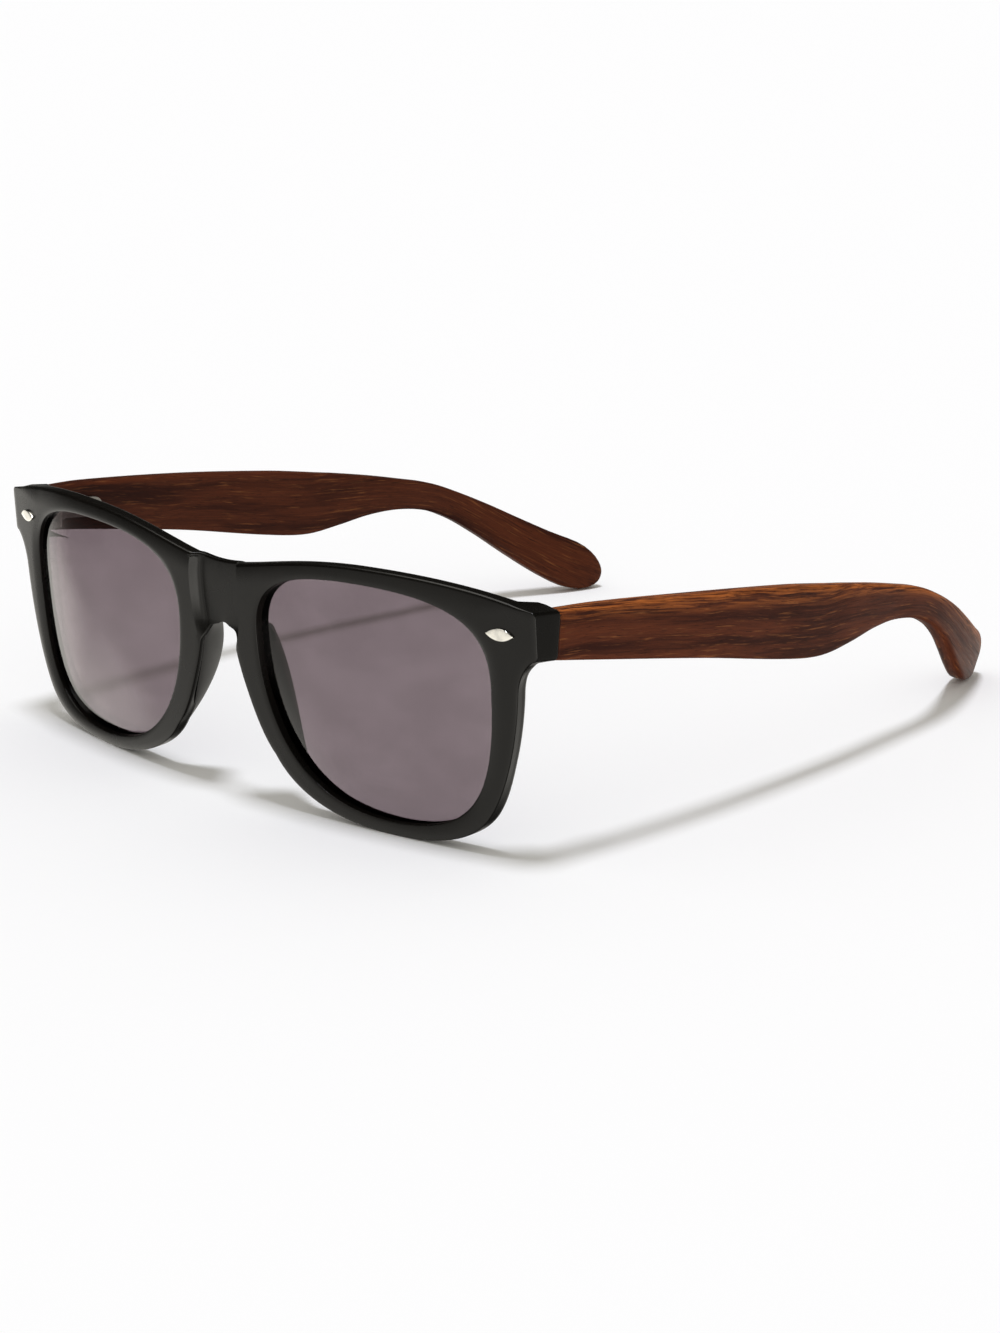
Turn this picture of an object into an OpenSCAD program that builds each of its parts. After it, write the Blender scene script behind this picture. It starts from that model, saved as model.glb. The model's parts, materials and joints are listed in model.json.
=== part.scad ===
// Sunglasses: a moulded black front with tinted lenses and two folding wooden temples.
// Lengths are millimetres. X runs across the face, -Y is the way the wearer looks, +Z is up.
// The wearer's left is +X. The origin is on the floor under the middle of the open sunglasses.

/* [Lenses] */
// Width of each lens opening
lens_w = 52.1; // [48:0.1:56]
// Height of each lens opening
lens_h = 42.2; // [38:0.1:46]
// Thickness of each lens
lens_t = 1.2; // [1:0.1:1.4]
// How far the middle of each lens bulges before its edge
lens_crown = 2; // [1:0.1:2.5]
// How far the nasal edge of each lens lies behind the face of its rim
lens_seat = 1.55; // [1.2:0.05:1.7]
// How much nearer to the face the temple edge of each lens lies
lens_lean = 0.55; // [0:0.05:0.7]
// Thickness of the lip behind the edge of each lens
lip_t = 0.35; // [0.3:0.05:0.5]
// Width of the slope from that lip to the back of the rim
lip_w = 1.8; // [1:0.1:2.2]
// Gap between a lens and its groove
lens_clear = 0.06; // [0.03:0.01:0.12]
// Depth of the lens groove round each opening
groove_d = 0.8; // [0.5:0.05:1]

/* [Front] */
// Distance between the two lens openings
bridge_w = 21.8; // [18:0.1:26]
// Height of the bridge at its middle
bridge_h = 10.9; // [8:0.1:12]
// How far the top of the bridge dips below the brow
bridge_dip = 4.3; // [3:0.1:6]
// How far the face of the bridge lies behind the rims
bridge_recess = 1; // [0.4:0.1:1.4]
// Height of the rim over each opening
rim_top = 2.9; // [2.2:0.1:4]
// Height of the rim under each opening
rim_bottom = 2.4; // [2:0.1:4]
// Width of the rim at the temple side
rim_side = 4.8; // [4.2:0.1:6]
// Width of the rim at the nose side
rim_nose = 6.8; // [5:0.1:7.2]
// Thickness of the front from face to back
front_t = 3.8; // [3.5:0.1:4.6]
// Radius of the curve that the face wraps round
face_r = 280; // [240:1:400]
// Radius of the moulded front edges
edge_r = 0.5; // [0.3:0.05:0.6]
// Radius of the front edge beside the nose
nose_r = 0.6; // [0.4:0.1:1.2]
// How far the nasal edges draw in beside the nose pads
nose_in = 0.9; // [0.4:0.1:1.2]
// Radius of the rounding along the back of the rims
back_r = 1.8; // [0.8:0.1:1.9]
// Reach of each end piece past the rim
end_reach = 4.7; // [4.3:0.1:5.5]
// Height of each end piece
end_h = 8.6; // [8.2:0.1:9.6]
// Drop from the brow to the middle of the end piece
end_drop = 7.6; // [7.2:0.1:8.4]
// Depth of each end piece from face to butt joint
end_t = 5.5; // [5.2:0.1:7]

/* [Nose pads] */
// How far each nose pad stands behind the front
pad_d = 5.1; // [3:0.1:6]
// Distance of each nose pad's foot from the edges of the rim
pad_inset = 0.4; // [0.3:0.05:0.8]

/* [Temples] */
// Length of each temple from the butt joint to the tip
temple_len = 140.2; // [132:0.1:148]
// Thickness of each temple
temple_t = 4; // [3.6:0.1:4.6]
// Greatest height of each temple, just in front of the ear
temple_h = 13.3; // [12:0.1:15]
// Height of each temple at the bend over the ear
neck_h = 6; // [5.5:0.1:8]
// Height of each temple tip
tip_h = 10.8; // [9:0.1:13]
// Angle by which the temples slope down from the front
temple_drop = 9; // [6:0.5:12]
// How far each tip drops behind the ear
ear_drop = 20.4; // [15:0.1:24]
// How far each tip curls in towards the head
tip_inset = 18.3; // [10:0.1:22]
// Radius of the temple's long edges
temple_edge = 0.8; // [0.4:0.1:1.2]

/* [Hinges] */
// Diameter of the hinge barrel
barrel_d = 2.8; // [2.6:0.1:3]
// Height of one of the five knuckles
knuckle_h = 1.25; // [1.1:0.05:1.4]
// Diameter of the hinge screw
screw_d = 1.2; // [1:0.1:1.4]
// Running gap between screw and knuckles, and between two knuckles
run_gap = 0.04; // [0.03:0.01:0.06]
// Thickness of the hinge leaves
leaf_t = 0.8; // [0.7:0.05:1]
// Length of the leaf on the temple
leaf_len = 11; // [10:0.1:14]
// Width of the leaf on the front
plate_w = 3; // [2.8:0.1:3.2]
// Diameter of the pegs that anchor a leaf in the front
peg_d = 1.4; // [1:0.1:1.6]
// Length of the anchor pegs
peg_len = 2; // [1.5:0.1:2.2]
// Diameter of the small leaf screws
fix_d = 1.1; // [0.9:0.1:1.3]
// Length of the small leaf screws
fix_len = 2.6; // [2:0.1:2.8]
// Gap between fixed metal parts and their seats
seat_gap = 0.03; // [0.02:0.01:0.06]

/* [Rivets] */
// Length of each leaf-shaped corner plate
rivet_len = 5.5; // [4.8:0.1:6.2]
// Width of each corner plate
rivet_w = 2.2; // [1.8:0.1:2.8]
// Thickness of each corner plate
rivet_t = 0.6; // [0.4:0.1:0.9]
// Diameter of the two pins under each corner plate
pin_d = 0.8; // [0.6:0.1:1]
// Length of the pins under each corner plate
pin_len = 1.8; // [1.2:0.1:2.2]

/* [Hidden] */
$fn = 48;

// Colours
black = [0.11, 0.1, 0.09];
smoke = [0.4, 0.37, 0.38, 0.7];
wood = [0.36, 0.2, 0.15];
steel = [0.75, 0.74, 0.72];

// Layout of the front, in the plane of the face
lens_x = bridge_w / 2 + lens_w / 2;
lens_a = lens_w / 2;
lens_b = lens_h / 2;
side_a = lens_a + rim_side;
nose_a = lens_a + rim_nose;
low_b = lens_b + rim_bottom;
brow_z = lens_b + rim_top;
bridge_top = brow_z - bridge_dip;
half_w = lens_x + side_a + end_reach;
end_z = brow_z - end_drop;

// Lens seat: depth of a lens's front edge behind the face, at a distance from the middle
function seat(x) = lens_seat - lens_lean * (x - lens_x + lens_a) / lens_w;
opening_edge = 0.3;
lip_edge = 0.15;

// Butt joint and hinge: the temple slopes down by temple_drop and the hinge axis is square to it
slope = tan(temple_drop);
butt_y = face(half_w) + end_t;
butt_z = end_z - end_t * slope;
butt_gap = 0.06;
wall_x = half_w - temple_t;
wall_ramp = 0.8;
butt_edge = 0.3;
temple_x = half_w - temple_t / 2;
barrel_room = 0.35;
axis_x = wall_x - barrel_d / 2 - barrel_room;

// One lens outline: four curves through its extreme points, on a half width and half height of 1
LENS_CURVES = [
    [[1, 0.3], [1, 0.82], [0.74, 1], [0, 1]],
    [[0, 1], [-0.72, 1], [-1, 0.83], [-1, 0.4]],
    [[-1, 0.4], [-1, -0.29], [-0.7, -1], [0.12, -1]],
    [[0.12, -1], [0.81, -1], [1, -0.66], [1, 0.3]]
];

// Corners of an end piece and the rounding between its faces
corner_r = 0.9;
end_top = end_z + end_h / 2;
end_low = end_z - end_h / 2;
end_corner = [half_w, end_low];
arc_pull = 0.55;
brow_lift = 0.1;
foot_lead = [0.1, 2.6];
foot_in = [-2.9, -1];

// Points on the outline given as shares of the rim's outer half sizes
function side_pt(p) = [lens_x + side_a * p[0], low_b * p[1]];
function nose_pt(p) = [lens_x - nose_a * p[0], low_b * p[1]];

side_foot = side_pt([0.99, 0.25]);
brow_mid = [lens_x + 1, brow_z];
brow_end = [half_w - corner_r, end_top + brow_lift];
side_low = side_pt([0.775, -0.71]);
bottom_mid = [lens_x + side_a * 0.127, -low_b];
nose_low = nose_pt([0.709, -0.586]);
nose_high = nose_pt([1, 0.166]);
bridge_low = bridge_top - bridge_h;

// Pulls of the brow's curve: on the temple side as shares of the lens's half width, and on the
// nose side as shares of the lens's distance from the middle
brow_out = [-0.345, 0.084];
brow_over = [0.537, 0.008];
brow_in = [0.54 * lens_x, brow_z - 0.1];
bridge_out = [0.242 * lens_x, bridge_top];

// Top of the nose opening: how far its flat part reaches, and the pull above the nasal edge
nose_top = [0.48 * nose_high[0], bridge_low];
nose_pull = nose_pt([1.027, 0.302]);

// Half outline of the front, anticlockwise from the temple-side rim.
// Each row holds a curve, where it starts and ends on the lens outline, and its steps.
OUTLINE = [
    [[side_foot, side_foot + foot_lead, end_corner + foot_in, end_corner - [corner_r, 0]], 0, 0.2, 6],
    [corner(end_corner - [corner_r, 0], end_corner, end_corner + [0, corner_r]), 0.2, 0.27, 3],
    [line(end_corner + [0, corner_r], [half_w, end_top - corner_r]), 0.27, 0.42, 3],
    [corner([half_w, end_top - corner_r], [half_w, end_top + brow_lift], brow_end), 0.42, 0.47, 3],
    [[brow_end, brow_end + lens_a * brow_out, brow_mid + lens_a * brow_over, brow_mid], 0.47, 1, 9],
    [[brow_mid, brow_in, bridge_out, [0, bridge_top]], 1, 1.72, 9],
    [line([0, bridge_top], [0, bridge_low]), 1.72, 2.02, 4],
    [[[0, bridge_low], nose_top, nose_pull, nose_high], 2.02, 2.2, 6],
    [[nose_high, nose_pt([0.955, -0.102]), nose_pt([0.847, -0.429]), nose_low], 2.2, 2.56, 7],
    [[nose_low, nose_pt([0.52, -0.925]), nose_pt([0.156, -1]), bottom_mid], 2.56, 3, 9],
    [[bottom_mid, side_pt([0.4, -1]), side_pt([0.62, -0.918]), side_low], 3, 3.5, 8],
    [[side_low, side_pt([0.919, -0.447]), side_pt([0.975, -0.064]), side_foot], 3.5, 4, 9]
];
BRIDGE_CUT = 6;
NOSE_CURVE = 8;

// Curves
function bezier(p, t) = let (s = 1 - t)
    s * s * s * p[0] + 3 * s * s * t * p[1] + 3 * s * t * t * p[2] + t * t * t * p[3];
function bezier_way(p, t) = let (s = 1 - t)
    s * s * (p[1] - p[0]) + 2 * s * t * (p[2] - p[1]) + t * t * (p[3] - p[2]);
function line(p, q) = [p, p + (q - p) / 3, p + (q - p) * 2 / 3, q];
function corner(p, k, q) = [p, p + (k - p) * arc_pull, q + (k - q) * arc_pull, q];
function unit(v) = v / norm(v);
function inward(way) = unit([-way[1], way[0]]);
function smooth(a, b, x) = let (t = min(1, max(0, (x - a) / (b - a)))) t * t * (3 - 2 * t);
function face(u) = face_r - sqrt(face_r * face_r - u * u);

// A point on a lens outline, where t counts its four curves, moved outwards by grow
function lens_pt(t, grow = 0) = let (
        k = floor(t) % 4,
        curve = [for (p = LENS_CURVES[k]) [lens_x + lens_a * p[0], lens_b * p[1]]],
        s = t - floor(t)
    ) bezier(curve, s) - grow * inward(bezier_way(curve, s));

// Lengths over which the end block fades in
block_rise = 1.6;
block_run = 1.2;

// The face of each rim ends in a bowed crease beside the bridge, and ramps down to the bridge:
// the crease's distance from the lens opening, its bow, the ramp's width, and where it fades below
crease_in = 4;
crease_bow = 0.016;
crease_ramp = 3;
crease_fade = [0.1, 0.36];
crease_mid = bridge_top - bridge_h * 0.45;
function crease(z) = bridge_w / 2 - crease_in - crease_bow * pow(z - crease_mid, 2);
function dip(p) = let (t = min(1, max(0, (crease(p[1]) - abs(p[0])) / crease_ramp)))
    bridge_recess * t * (2 - t) * smooth(crease_fade[0] * low_b, crease_fade[1] * low_b, p[1]);

// Where a line from the opening to the front edge meets the crease, as a share of the line
usual_share = 0.7;
crease_share = [0.3, 0.93];
function at_crease(i, o, guess) = i[0] - o[0] < 1
    ? usual_share
    : min(crease_share[1], max(crease_share[0],
        (i[0] - crease(i[1] + (o[1] - i[1]) * guess)) / (i[0] - o[0])));

// How much of the nasal edge is there: its front is rounder, and its back stays square for the nose pad
nasal_start = [-0.7, -0.3];
nasal_end = [0.3, 1.2];
function nasal_share(k, t) = let (u = k + t - NOSE_CURVE)
    smooth(nasal_start[0], nasal_start[1], u) * (1 - smooth(nasal_end[0], nasal_end[1], u));

// A point on the outline, where t counts its rows, moved inwards
function outline_pt(t, inset) = let (
        k = min(floor(t), len(OUTLINE) - 1),
        row = OUTLINE[k][0],
        s = t - k
    ) bezier(row, s) + inset * inward(bezier_way(row, s));

// Stations round one half of the front: lens point, outward normal there, outer point,
// inward normal there, how much of the end block and of the nasal edge is there, and whether it
// lies on the bridge cut
function block_share(k, o) =
    k == 0 ? smooth(end_low - block_rise, end_low, o[1])
    : k < 4 ? 1
    : k == 4 ? smooth(wall_x - block_run, wall_x, o[0])
    : 0;
function station(k, t) = let (
        row = OUTLINE[k],
        turn = row[1] + (row[2] - row[1]) * t,
        nasal = nasal_share(k, t),
        o = outline_pt(k + t, nose_in * nasal),
        i = lens_pt(turn)
    ) [i, lens_pt(turn, 1) - i, o, inward(bezier_way(row[0], t)),
        block_share(k, o), nasal, k == BRIDGE_CUT];
STATIONS = [
    for (k = [0 : len(OUTLINE) - 1])
        let (n = OUTLINE[k][3], first = k == BRIDGE_CUT ? 1 : 0, last = k == BRIDGE_CUT - 1 ? n : n - 1)
            for (j = [first : last]) station(k, j / n)
];
count = len(STATIONS);
ROUND_FIRST = 4;
ROUND_LAST = 11;

// A station lies on the middle plane if its outer point does
function on_middle(s) = abs(s[2][0]) < 0.001;

// A point of the front from its place in the face, its depth and the share of the end block
function front_pt(p, depth, share = 0) =
    let (d = dip(p))
        [p[0], face(p[0]) + max(depth, d + depth * (1 - d / front_t)), p[1] - depth * slope * share];
function block_depth(p) =
    (butt_y - face(p[0]) + (p[1] - butt_z) * slope) * cos(temple_drop) * cos(temple_drop);
function back_depth(p, share) = front_t + share * (block_depth(p) - front_t);

// Shares of the rim's width: most back rounding, least step from one row of the back to the next,
// most for the end block's inner wall and its foot, and the slope's share of what is left.
// No width is taken as less than the least.
round_share = 0.7;
row_share = 0.04;
least = 0.01;
wall_share = 0.5;
foot_share = 0.7;
lip_share = 0.8;

// The closed section of the rim at one station, from the opening over the face to the back
function section(s) = let (
        i = s[0], out = s[1], o = s[2], share = s[4], cut = s[6],
        span = o - i,
        r = cut ? 0 : edge_r + (nose_r - edge_r) * s[5], n = s[3],
        square = max(share, s[5]),
        b = cut ? 0 : min(back_r, round_share * norm(span)) * (1 - square) + butt_edge * square,
        stop = o + n * r,
        bend = at_crease(i, stop, at_crease(i, stop, usual_share)),
        flat = min((bend + 1) / 2, bend + crease_ramp / max(i[0] - stop[0], crease_ramp)),
        back = back_depth(o, share),
        reach = max(span[0], least),
        wide = max(-n * span, b + least),
        wall = max(b / wide + row_share, min(wall_share, (o[0] - wall_x) / reach)),
        foot = max(wall + row_share, min(foot_share, (o[0] - wall_x + wall_ramp) / reach)),
        groove_front = seat(i[0]) - lens_clear,
        groove_back = seat(i[0]) + lens_t + lens_clear,
        lip_back = min(front_t, groove_back + lip_t),
        lip = lip_back + (front_t - lip_back) * s[5],
        slope_w = min(lip_w, norm(span) * (1 - foot) * lip_share),
        edge_p = o + n * b,
        wall_p = o - span * wall,
        foot_p = o - span * foot
    ) [
        front_pt(i, opening_edge),
        front_pt(i + out * opening_edge, 0),
        front_pt(i + (stop - i) * bend, 0),
        front_pt(i + (stop - i) * flat, 0),
        front_pt(stop, 0),
        front_pt(o + n * r * (1 - cos(60)), r * (1 - sin(60)), share),
        front_pt(o + n * r * (1 - cos(30)), r * (1 - sin(30)), share),
        front_pt(o, r, share),
        front_pt(o, back - b, share),
        front_pt(o + n * b * (1 - cos(30)), back - b * (1 - sin(30)), share),
        front_pt(o + n * b * (1 - cos(60)), back - b * (1 - sin(60)), share),
        front_pt(edge_p, back_depth(edge_p, share), share),
        front_pt(wall_p, back_depth(wall_p, share), share),
        front_pt(foot_p, front_t),
        front_pt(i + out * slope_w, front_t),
        front_pt(i + out * lip_edge, lip),
        front_pt(i, lip - lip_edge),
        front_pt(i, groove_back),
        front_pt(i + out * groove_d, groove_back),
        front_pt(i + out * groove_d, groove_front),
        front_pt(i, groove_front)
    ];
SECTIONS = [for (s = STATIONS) section(s)];
rows = len(SECTIONS[0]);

// Spine of one temple, from the butt joint: distance back, height, section height, inset
TEMPLE_ROWS = [
    [0, 0, end_h, 0],
    [10, 0, end_h + 0.24 * (temple_h - end_h), -0.9],
    [36, -0.9, end_h + 0.64 * (temple_h - end_h), -1.8],
    [58, -2.3, temple_h, -1.1],
    [68, -2.8, temple_h - 0.2, -0.5],
    [76, -2.3, neck_h + 0.7 * (temple_h - neck_h), 0.1],
    [84, -1.7, neck_h + 0.34 * (temple_h - neck_h), 1],
    [92, -1.7, neck_h + 0.08 * (temple_h - neck_h), tip_inset * 0.11],
    [100, -ear_drop * 0.125, neck_h, tip_inset * 0.155],
    [107, -ear_drop * 0.23, neck_h + 0.02 * (tip_h - neck_h), tip_inset * 0.215],
    [114, -ear_drop * 0.385, neck_h + 0.23 * (tip_h - neck_h), tip_inset * 0.33],
    [121, -ear_drop * 0.57, neck_h + 0.52 * (tip_h - neck_h), tip_inset * 0.49],
    [128, -ear_drop * 0.75, neck_h + 0.79 * (tip_h - neck_h), tip_inset * 0.675],
    [135, -ear_drop * 0.9, tip_h, tip_inset * 0.87],
    [140.2, -ear_drop, tip_h, tip_inset]
];
drawn_len = TEMPLE_ROWS[len(TEMPLE_ROWS) - 1][0];
tip_round = 9;
temple_step = 3.1;

// Smooth curve through the rows of the spine, at distance back s
function row_at(s) = let (k = max([for (j = [0 : len(TEMPLE_ROWS) - 2]) if (TEMPLE_ROWS[j][0] <= s) j])) k;
function spine(s) = let (
        k = row_at(s),
        p1 = TEMPLE_ROWS[k],
        p2 = TEMPLE_ROWS[k + 1],
        p0 = k > 0 ? TEMPLE_ROWS[k - 1] : 2 * p1 - p2,
        p3 = k + 2 < len(TEMPLE_ROWS) ? TEMPLE_ROWS[k + 2] : 2 * p2 - p1,
        w = p2[0] - p1[0],
        t = (s - p1[0]) / w,
        m1 = (p2 - p0) / (p2[0] - p0[0]) * w,
        m2 = (p3 - p1) / (p3[0] - p1[0]) * w,
        c = t * t * (3 - 2 * t)
    ) p1 * (1 - c) + p2 * c + m1 * t * (1 - t) * (1 - t) - m2 * t * t * (1 - t);

// Distances of the temple's sections: even steps, then closer ones round the tip
body_len = drawn_len - tip_round;
TEMPLE_STEPS = concat(
    [0, 0.1],
    [for (j = [1 : ceil(body_len / temple_step)]) body_len * j / ceil(body_len / temple_step)],
    [for (a = [18, 36, 52, 66, 77, 85]) body_len + tip_round * sin(a)]
);
function tip_share(s) = s <= body_len ? 1 : sqrt(1 - pow((s - body_len) / tip_round, 2));

// One rounded section of the temple, in the temple's own frame: inset is -X, back is +Y, up is +Z
function temple_section(s) = let (
        k = temple_len / drawn_len,
        p = spine(s),
        d = (spine(min(drawn_len, s + 0.2)) - spine(max(0, s - 0.2))),
        way = s < 1 ? [0, 1, 0] : unit([-d[3], d[0], d[1]]),
        up = unit([0, -way[2], way[1]]),
        side = cross(way, up),
        share = tip_share(s),
        h = p[2] / 2 * share,
        t = temple_t / 2 * sqrt(share),
        r = min(temple_edge, h * 0.6, t * 0.6),
        c = [-p[3], p[0] * k, p[1]]
    ) [for (q = [3 : -1 : 0], a = [90, 45, 0])
        let (sx = q == 0 || q == 3 ? 1 : -1, sz = q < 2 ? 1 : -1)
            c + side * (sx * (t - r) + r * cos(a + 90 * q)) + up * (sz * (h - r) + r * sin(a + 90 * q))];
TEMPLE_RINGS = [for (s = TEMPLE_STEPS) temple_section(s)];

// Where the temple stands: its own frame turned down by temple_drop at the butt joint
function from_temple(p) = [
    temple_x + p[0],
    butt_y + (p[1] + butt_gap) * cos(temple_drop) + p[2] * sin(temple_drop),
    butt_z - (p[1] + butt_gap) * sin(temple_drop) + p[2] * cos(temple_drop)
];

// Stance: the rims and the temple tips stand on the floor
TEMPLE_POINTS = [for (ring = TEMPLE_RINGS, p = ring) from_temple(p)];
FRONT_POINTS = [for (ring = SECTIONS, p = ring) p];
rim_rest = [face(bottom_mid[0]) + front_t / 2, -low_b];
floor_slope = min([for (p = TEMPLE_POINTS) if (p[1] > butt_y + temple_len / 2)
    (p[2] - rim_rest[1]) / (p[1] - rim_rest[0])]);
stance = -atan(floor_slope);
function stand(p) = [p[0], p[1] * cos(stance) - p[2] * sin(stance), p[1] * sin(stance) + p[2] * cos(stance)];
FRONT_STOOD = [for (p = FRONT_POINTS) stand(p)];
TEMPLE_STOOD = [for (p = TEMPLE_POINTS) stand(p)];
floor_z = min([for (p = concat(FRONT_STOOD, TEMPLE_STOOD)) p[2]]);
first_y = min([for (p = FRONT_STOOD) p[1]]);
last_y = max([for (p = TEMPLE_STOOD) p[1]]);
middle_y = (first_y + last_y) / 2;

// Puts a piece drawn upright on its feet
module placed() {
    translate([0, -middle_y, -floor_z]) rotate([stance, 0, 0]) children();
}

// Puts a piece of one side in place: 1 is the wearer's left, -1 the right
module on_side(side) {
    placed() mirror([side < 0 ? 1 : 0, 0, 0]) children();
}

// The temple's own frame, with the butt joint as its origin
module at_temple() {
    translate([temple_x, butt_y, butt_z]) rotate([-temple_drop, 0, 0]) children();
}

// The hinge's own frame: its axis is Z and its origin is the middle of the barrel
module at_hinge() {
    at_temple() translate([axis_x - temple_x, 0, 0]) children();
}

// A closed skin over rings with the same number of points
module skin(rings) {
    m = len(rings[0]);
    last = (len(rings) - 1) * m;
    polyhedron(
        [for (ring = rings, p = ring) p],
        concat(
            [[for (j = [0 : m - 1]) j]],
            [[for (j = [m - 1 : -1 : 0]) last + j]],
            [for (i = [0 : len(rings) - 2], j = [0 : m - 1])
                let (a = i * m + j, b = i * m + (j + 1) % m) each [[a, a + m, b + m], [a, b + m, b]]]
        )
    );
}

// The moulded front without its holes: both halves share their points on the middle plane
module front_body() {
    function id(half, i, j) =
        (half == 1 && on_middle(STATIONS[i]) && j >= ROUND_FIRST && j <= ROUND_LAST ? 0 : half * count * rows)
        + i * rows + j;
    function on_cut(i, j) = on_middle(STATIONS[i]) && on_middle(STATIONS[(i + 1) % count])
        && j >= ROUND_FIRST && j < ROUND_LAST;
    polyhedron(
        concat(FRONT_POINTS, [for (p = FRONT_POINTS) [-p[0], p[1], p[2]]]),
        [for (half = [0, 1], i = [0 : count - 1], j = [0 : rows - 1])
            if (!on_cut(i, j))
                let (
                    a = id(half, i, j), b = id(half, (i + 1) % count, j),
                    c = id(half, (i + 1) % count, (j + 1) % rows), d = id(half, i, (j + 1) % rows)
                ) each half == 0 ? [[a, b, c], [a, c, d]] : [[c, b, a], [d, c, a]]]
    );
}

// Corner plates: place on the face, tilt and pins
rivet_in = 6.8;
rivet_x = half_w - rivet_in;
rivet_z = end_z - 0.1;
rivet_turn = 2;
pin_spread = rivet_len * 0.44;
module at_rivet() {
    translate([rivet_x, face(rivet_x), rivet_z])
        rotate([0, 0, asin(rivet_x / face_r)])
            rotate([90, rivet_turn, 0])
                children();
}
module rivet_pins(grow) {
    for (side = [-1, 1])
        translate([side * pin_spread / 2, 0, -pin_len - grow])
            cylinder(d = pin_d + 2 * grow, h = pin_len + rivet_t / 2 + grow);
}

// Hinge: five knuckles, the first, third and fifth on the front
knuckles = 5;
barrel_h = knuckles * knuckle_h + (knuckles - 1) * run_gap;
bore_d = screw_d + 2 * run_gap;
head_d = barrel_d * 0.8;
head_t = 0.5;
slot_w = 0.3;
plate_h = barrel_h;
plate_room = 0.5;
plate_back = barrel_d / 2 + plate_room;
plate_turn = asin(axis_x / face_r);
peg_spread = plate_h * 0.52;
function knuckle_low(k) = -barrel_h / 2 + k * (knuckle_h + run_gap);

// Leaf on the front: plate behind the rim with two pegs, in the hinge's frame
plate_in = 0.1;
plate_x = -plate_w / 2 - plate_in;
arm_slant = 0.4;
module at_plate() {
    translate([plate_x, -plate_back, 0]) rotate([0, 0, plate_turn]) children();
}
module front_plate(grow) {
    at_plate() {
        translate([-plate_w / 2 - grow, -leaf_t - grow, -plate_h / 2 - grow])
            cube([plate_w + 2 * grow, leaf_t + grow, plate_h + 2 * grow]);
        for (side = [-1, 1])
            translate([0, 0, side * peg_spread / 2])
                rotate([90, 0, 0])
                    cylinder(d = peg_d + 2 * grow, h = leaf_t + peg_len + grow);
    }
}
module front_arms() {
    for (k = [0 : 2 : knuckles - 1])
        translate([0, 0, knuckle_low(k)])
            linear_extrude(knuckle_h)
                difference() {
                    union() {
                        circle(d = barrel_d);
                        polygon([
                            [-barrel_d / 2, 0], [barrel_d / 2, 0], [barrel_d / 2 - arm_slant, -plate_back],
                            [-barrel_d / 2 - arm_slant, -plate_back - arm_slant]
                        ]);
                    }
                    circle(d = bore_d);
                }
}

// Leaf on the temple: plate let into the inner face, with two countersunk screws
let_in = leaf_t * 0.6;
temple_plate_x = wall_x - axis_x - leaf_t + let_in;
plate_start = 1.6;
arm_start = 0.2;
arm_lap = 1;
arm_w = temple_plate_x + leaf_t - arm_start;
temple_plate_h = barrel_h - 2 * knuckle_h;
fix_places = [plate_start + leaf_len * 0.36, plate_start + leaf_len * 0.78];
fix_head_d = fix_d * 1.8;
fix_head_t = leaf_t * 0.6;
module temple_plate(grow) {
    translate([temple_plate_x - grow, plate_start - grow, -temple_plate_h / 2 - grow])
        cube([leaf_t + 2 * grow, leaf_len - temple_plate_h / 2 + grow, temple_plate_h + 2 * grow]);
    translate([temple_plate_x - grow, plate_start + leaf_len - temple_plate_h / 2, 0])
        rotate([0, 90, 0])
            cylinder(d = temple_plate_h + 2 * grow, h = leaf_t + 2 * grow);
}
module leaf_screw(grow) {
    rotate([0, 90, 0]) {
        cylinder(d = fix_d + 2 * grow, h = fix_len + grow);
        cylinder(d1 = fix_head_d + 2 * grow, d2 = fix_d + 2 * grow, h = fix_head_t + grow);
    }
}
module at_fixings() {
    for (y = fix_places)
        translate([temple_plate_x, y, 0]) children();
}

// Sub-parts

module front_frame() {
    color(black)
        placed()
            difference() {
                front_body();
                for (side = [0, 1])
                    mirror([side, 0, 0]) {
                        at_rivet() rivet_pins(seat_gap);
                        at_hinge() front_plate(seat_gap);
                    }
            }
}

// A lens has an even edge in its groove and crowned faces inside the opening
module lens(side) {
    steps = 12;
    shares = [0.08, 0.34, 0.6, 0.82, 1];
    middle = [lens_x, 0];
    turns = [for (k = [0 : 4 * steps - 1]) k / steps];
    inner = [for (s = shares) [for (t = turns) middle + (lens_pt(t) - middle) * s]];
    flats = concat(inner, [[for (t = turns) lens_pt(t, groove_d - lens_clear)]]);
    bulges = concat([for (s = shares) lens_crown * (1 - s * s)], [0]);
    last = len(flats) - 1;
    front = [for (k = [0 : last])
        [for (p = flats[k]) [p[0], face(p[0]) + seat(p[0]) - bulges[k], p[1]]]];
    back = [for (k = [last : -1 : 0])
        [for (p = flats[k]) [p[0], face(p[0]) + seat(p[0]) + lens_t - bulges[k], p[1]]]];
    color(smoke) on_side(side) skin(concat(front, back));
}

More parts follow.
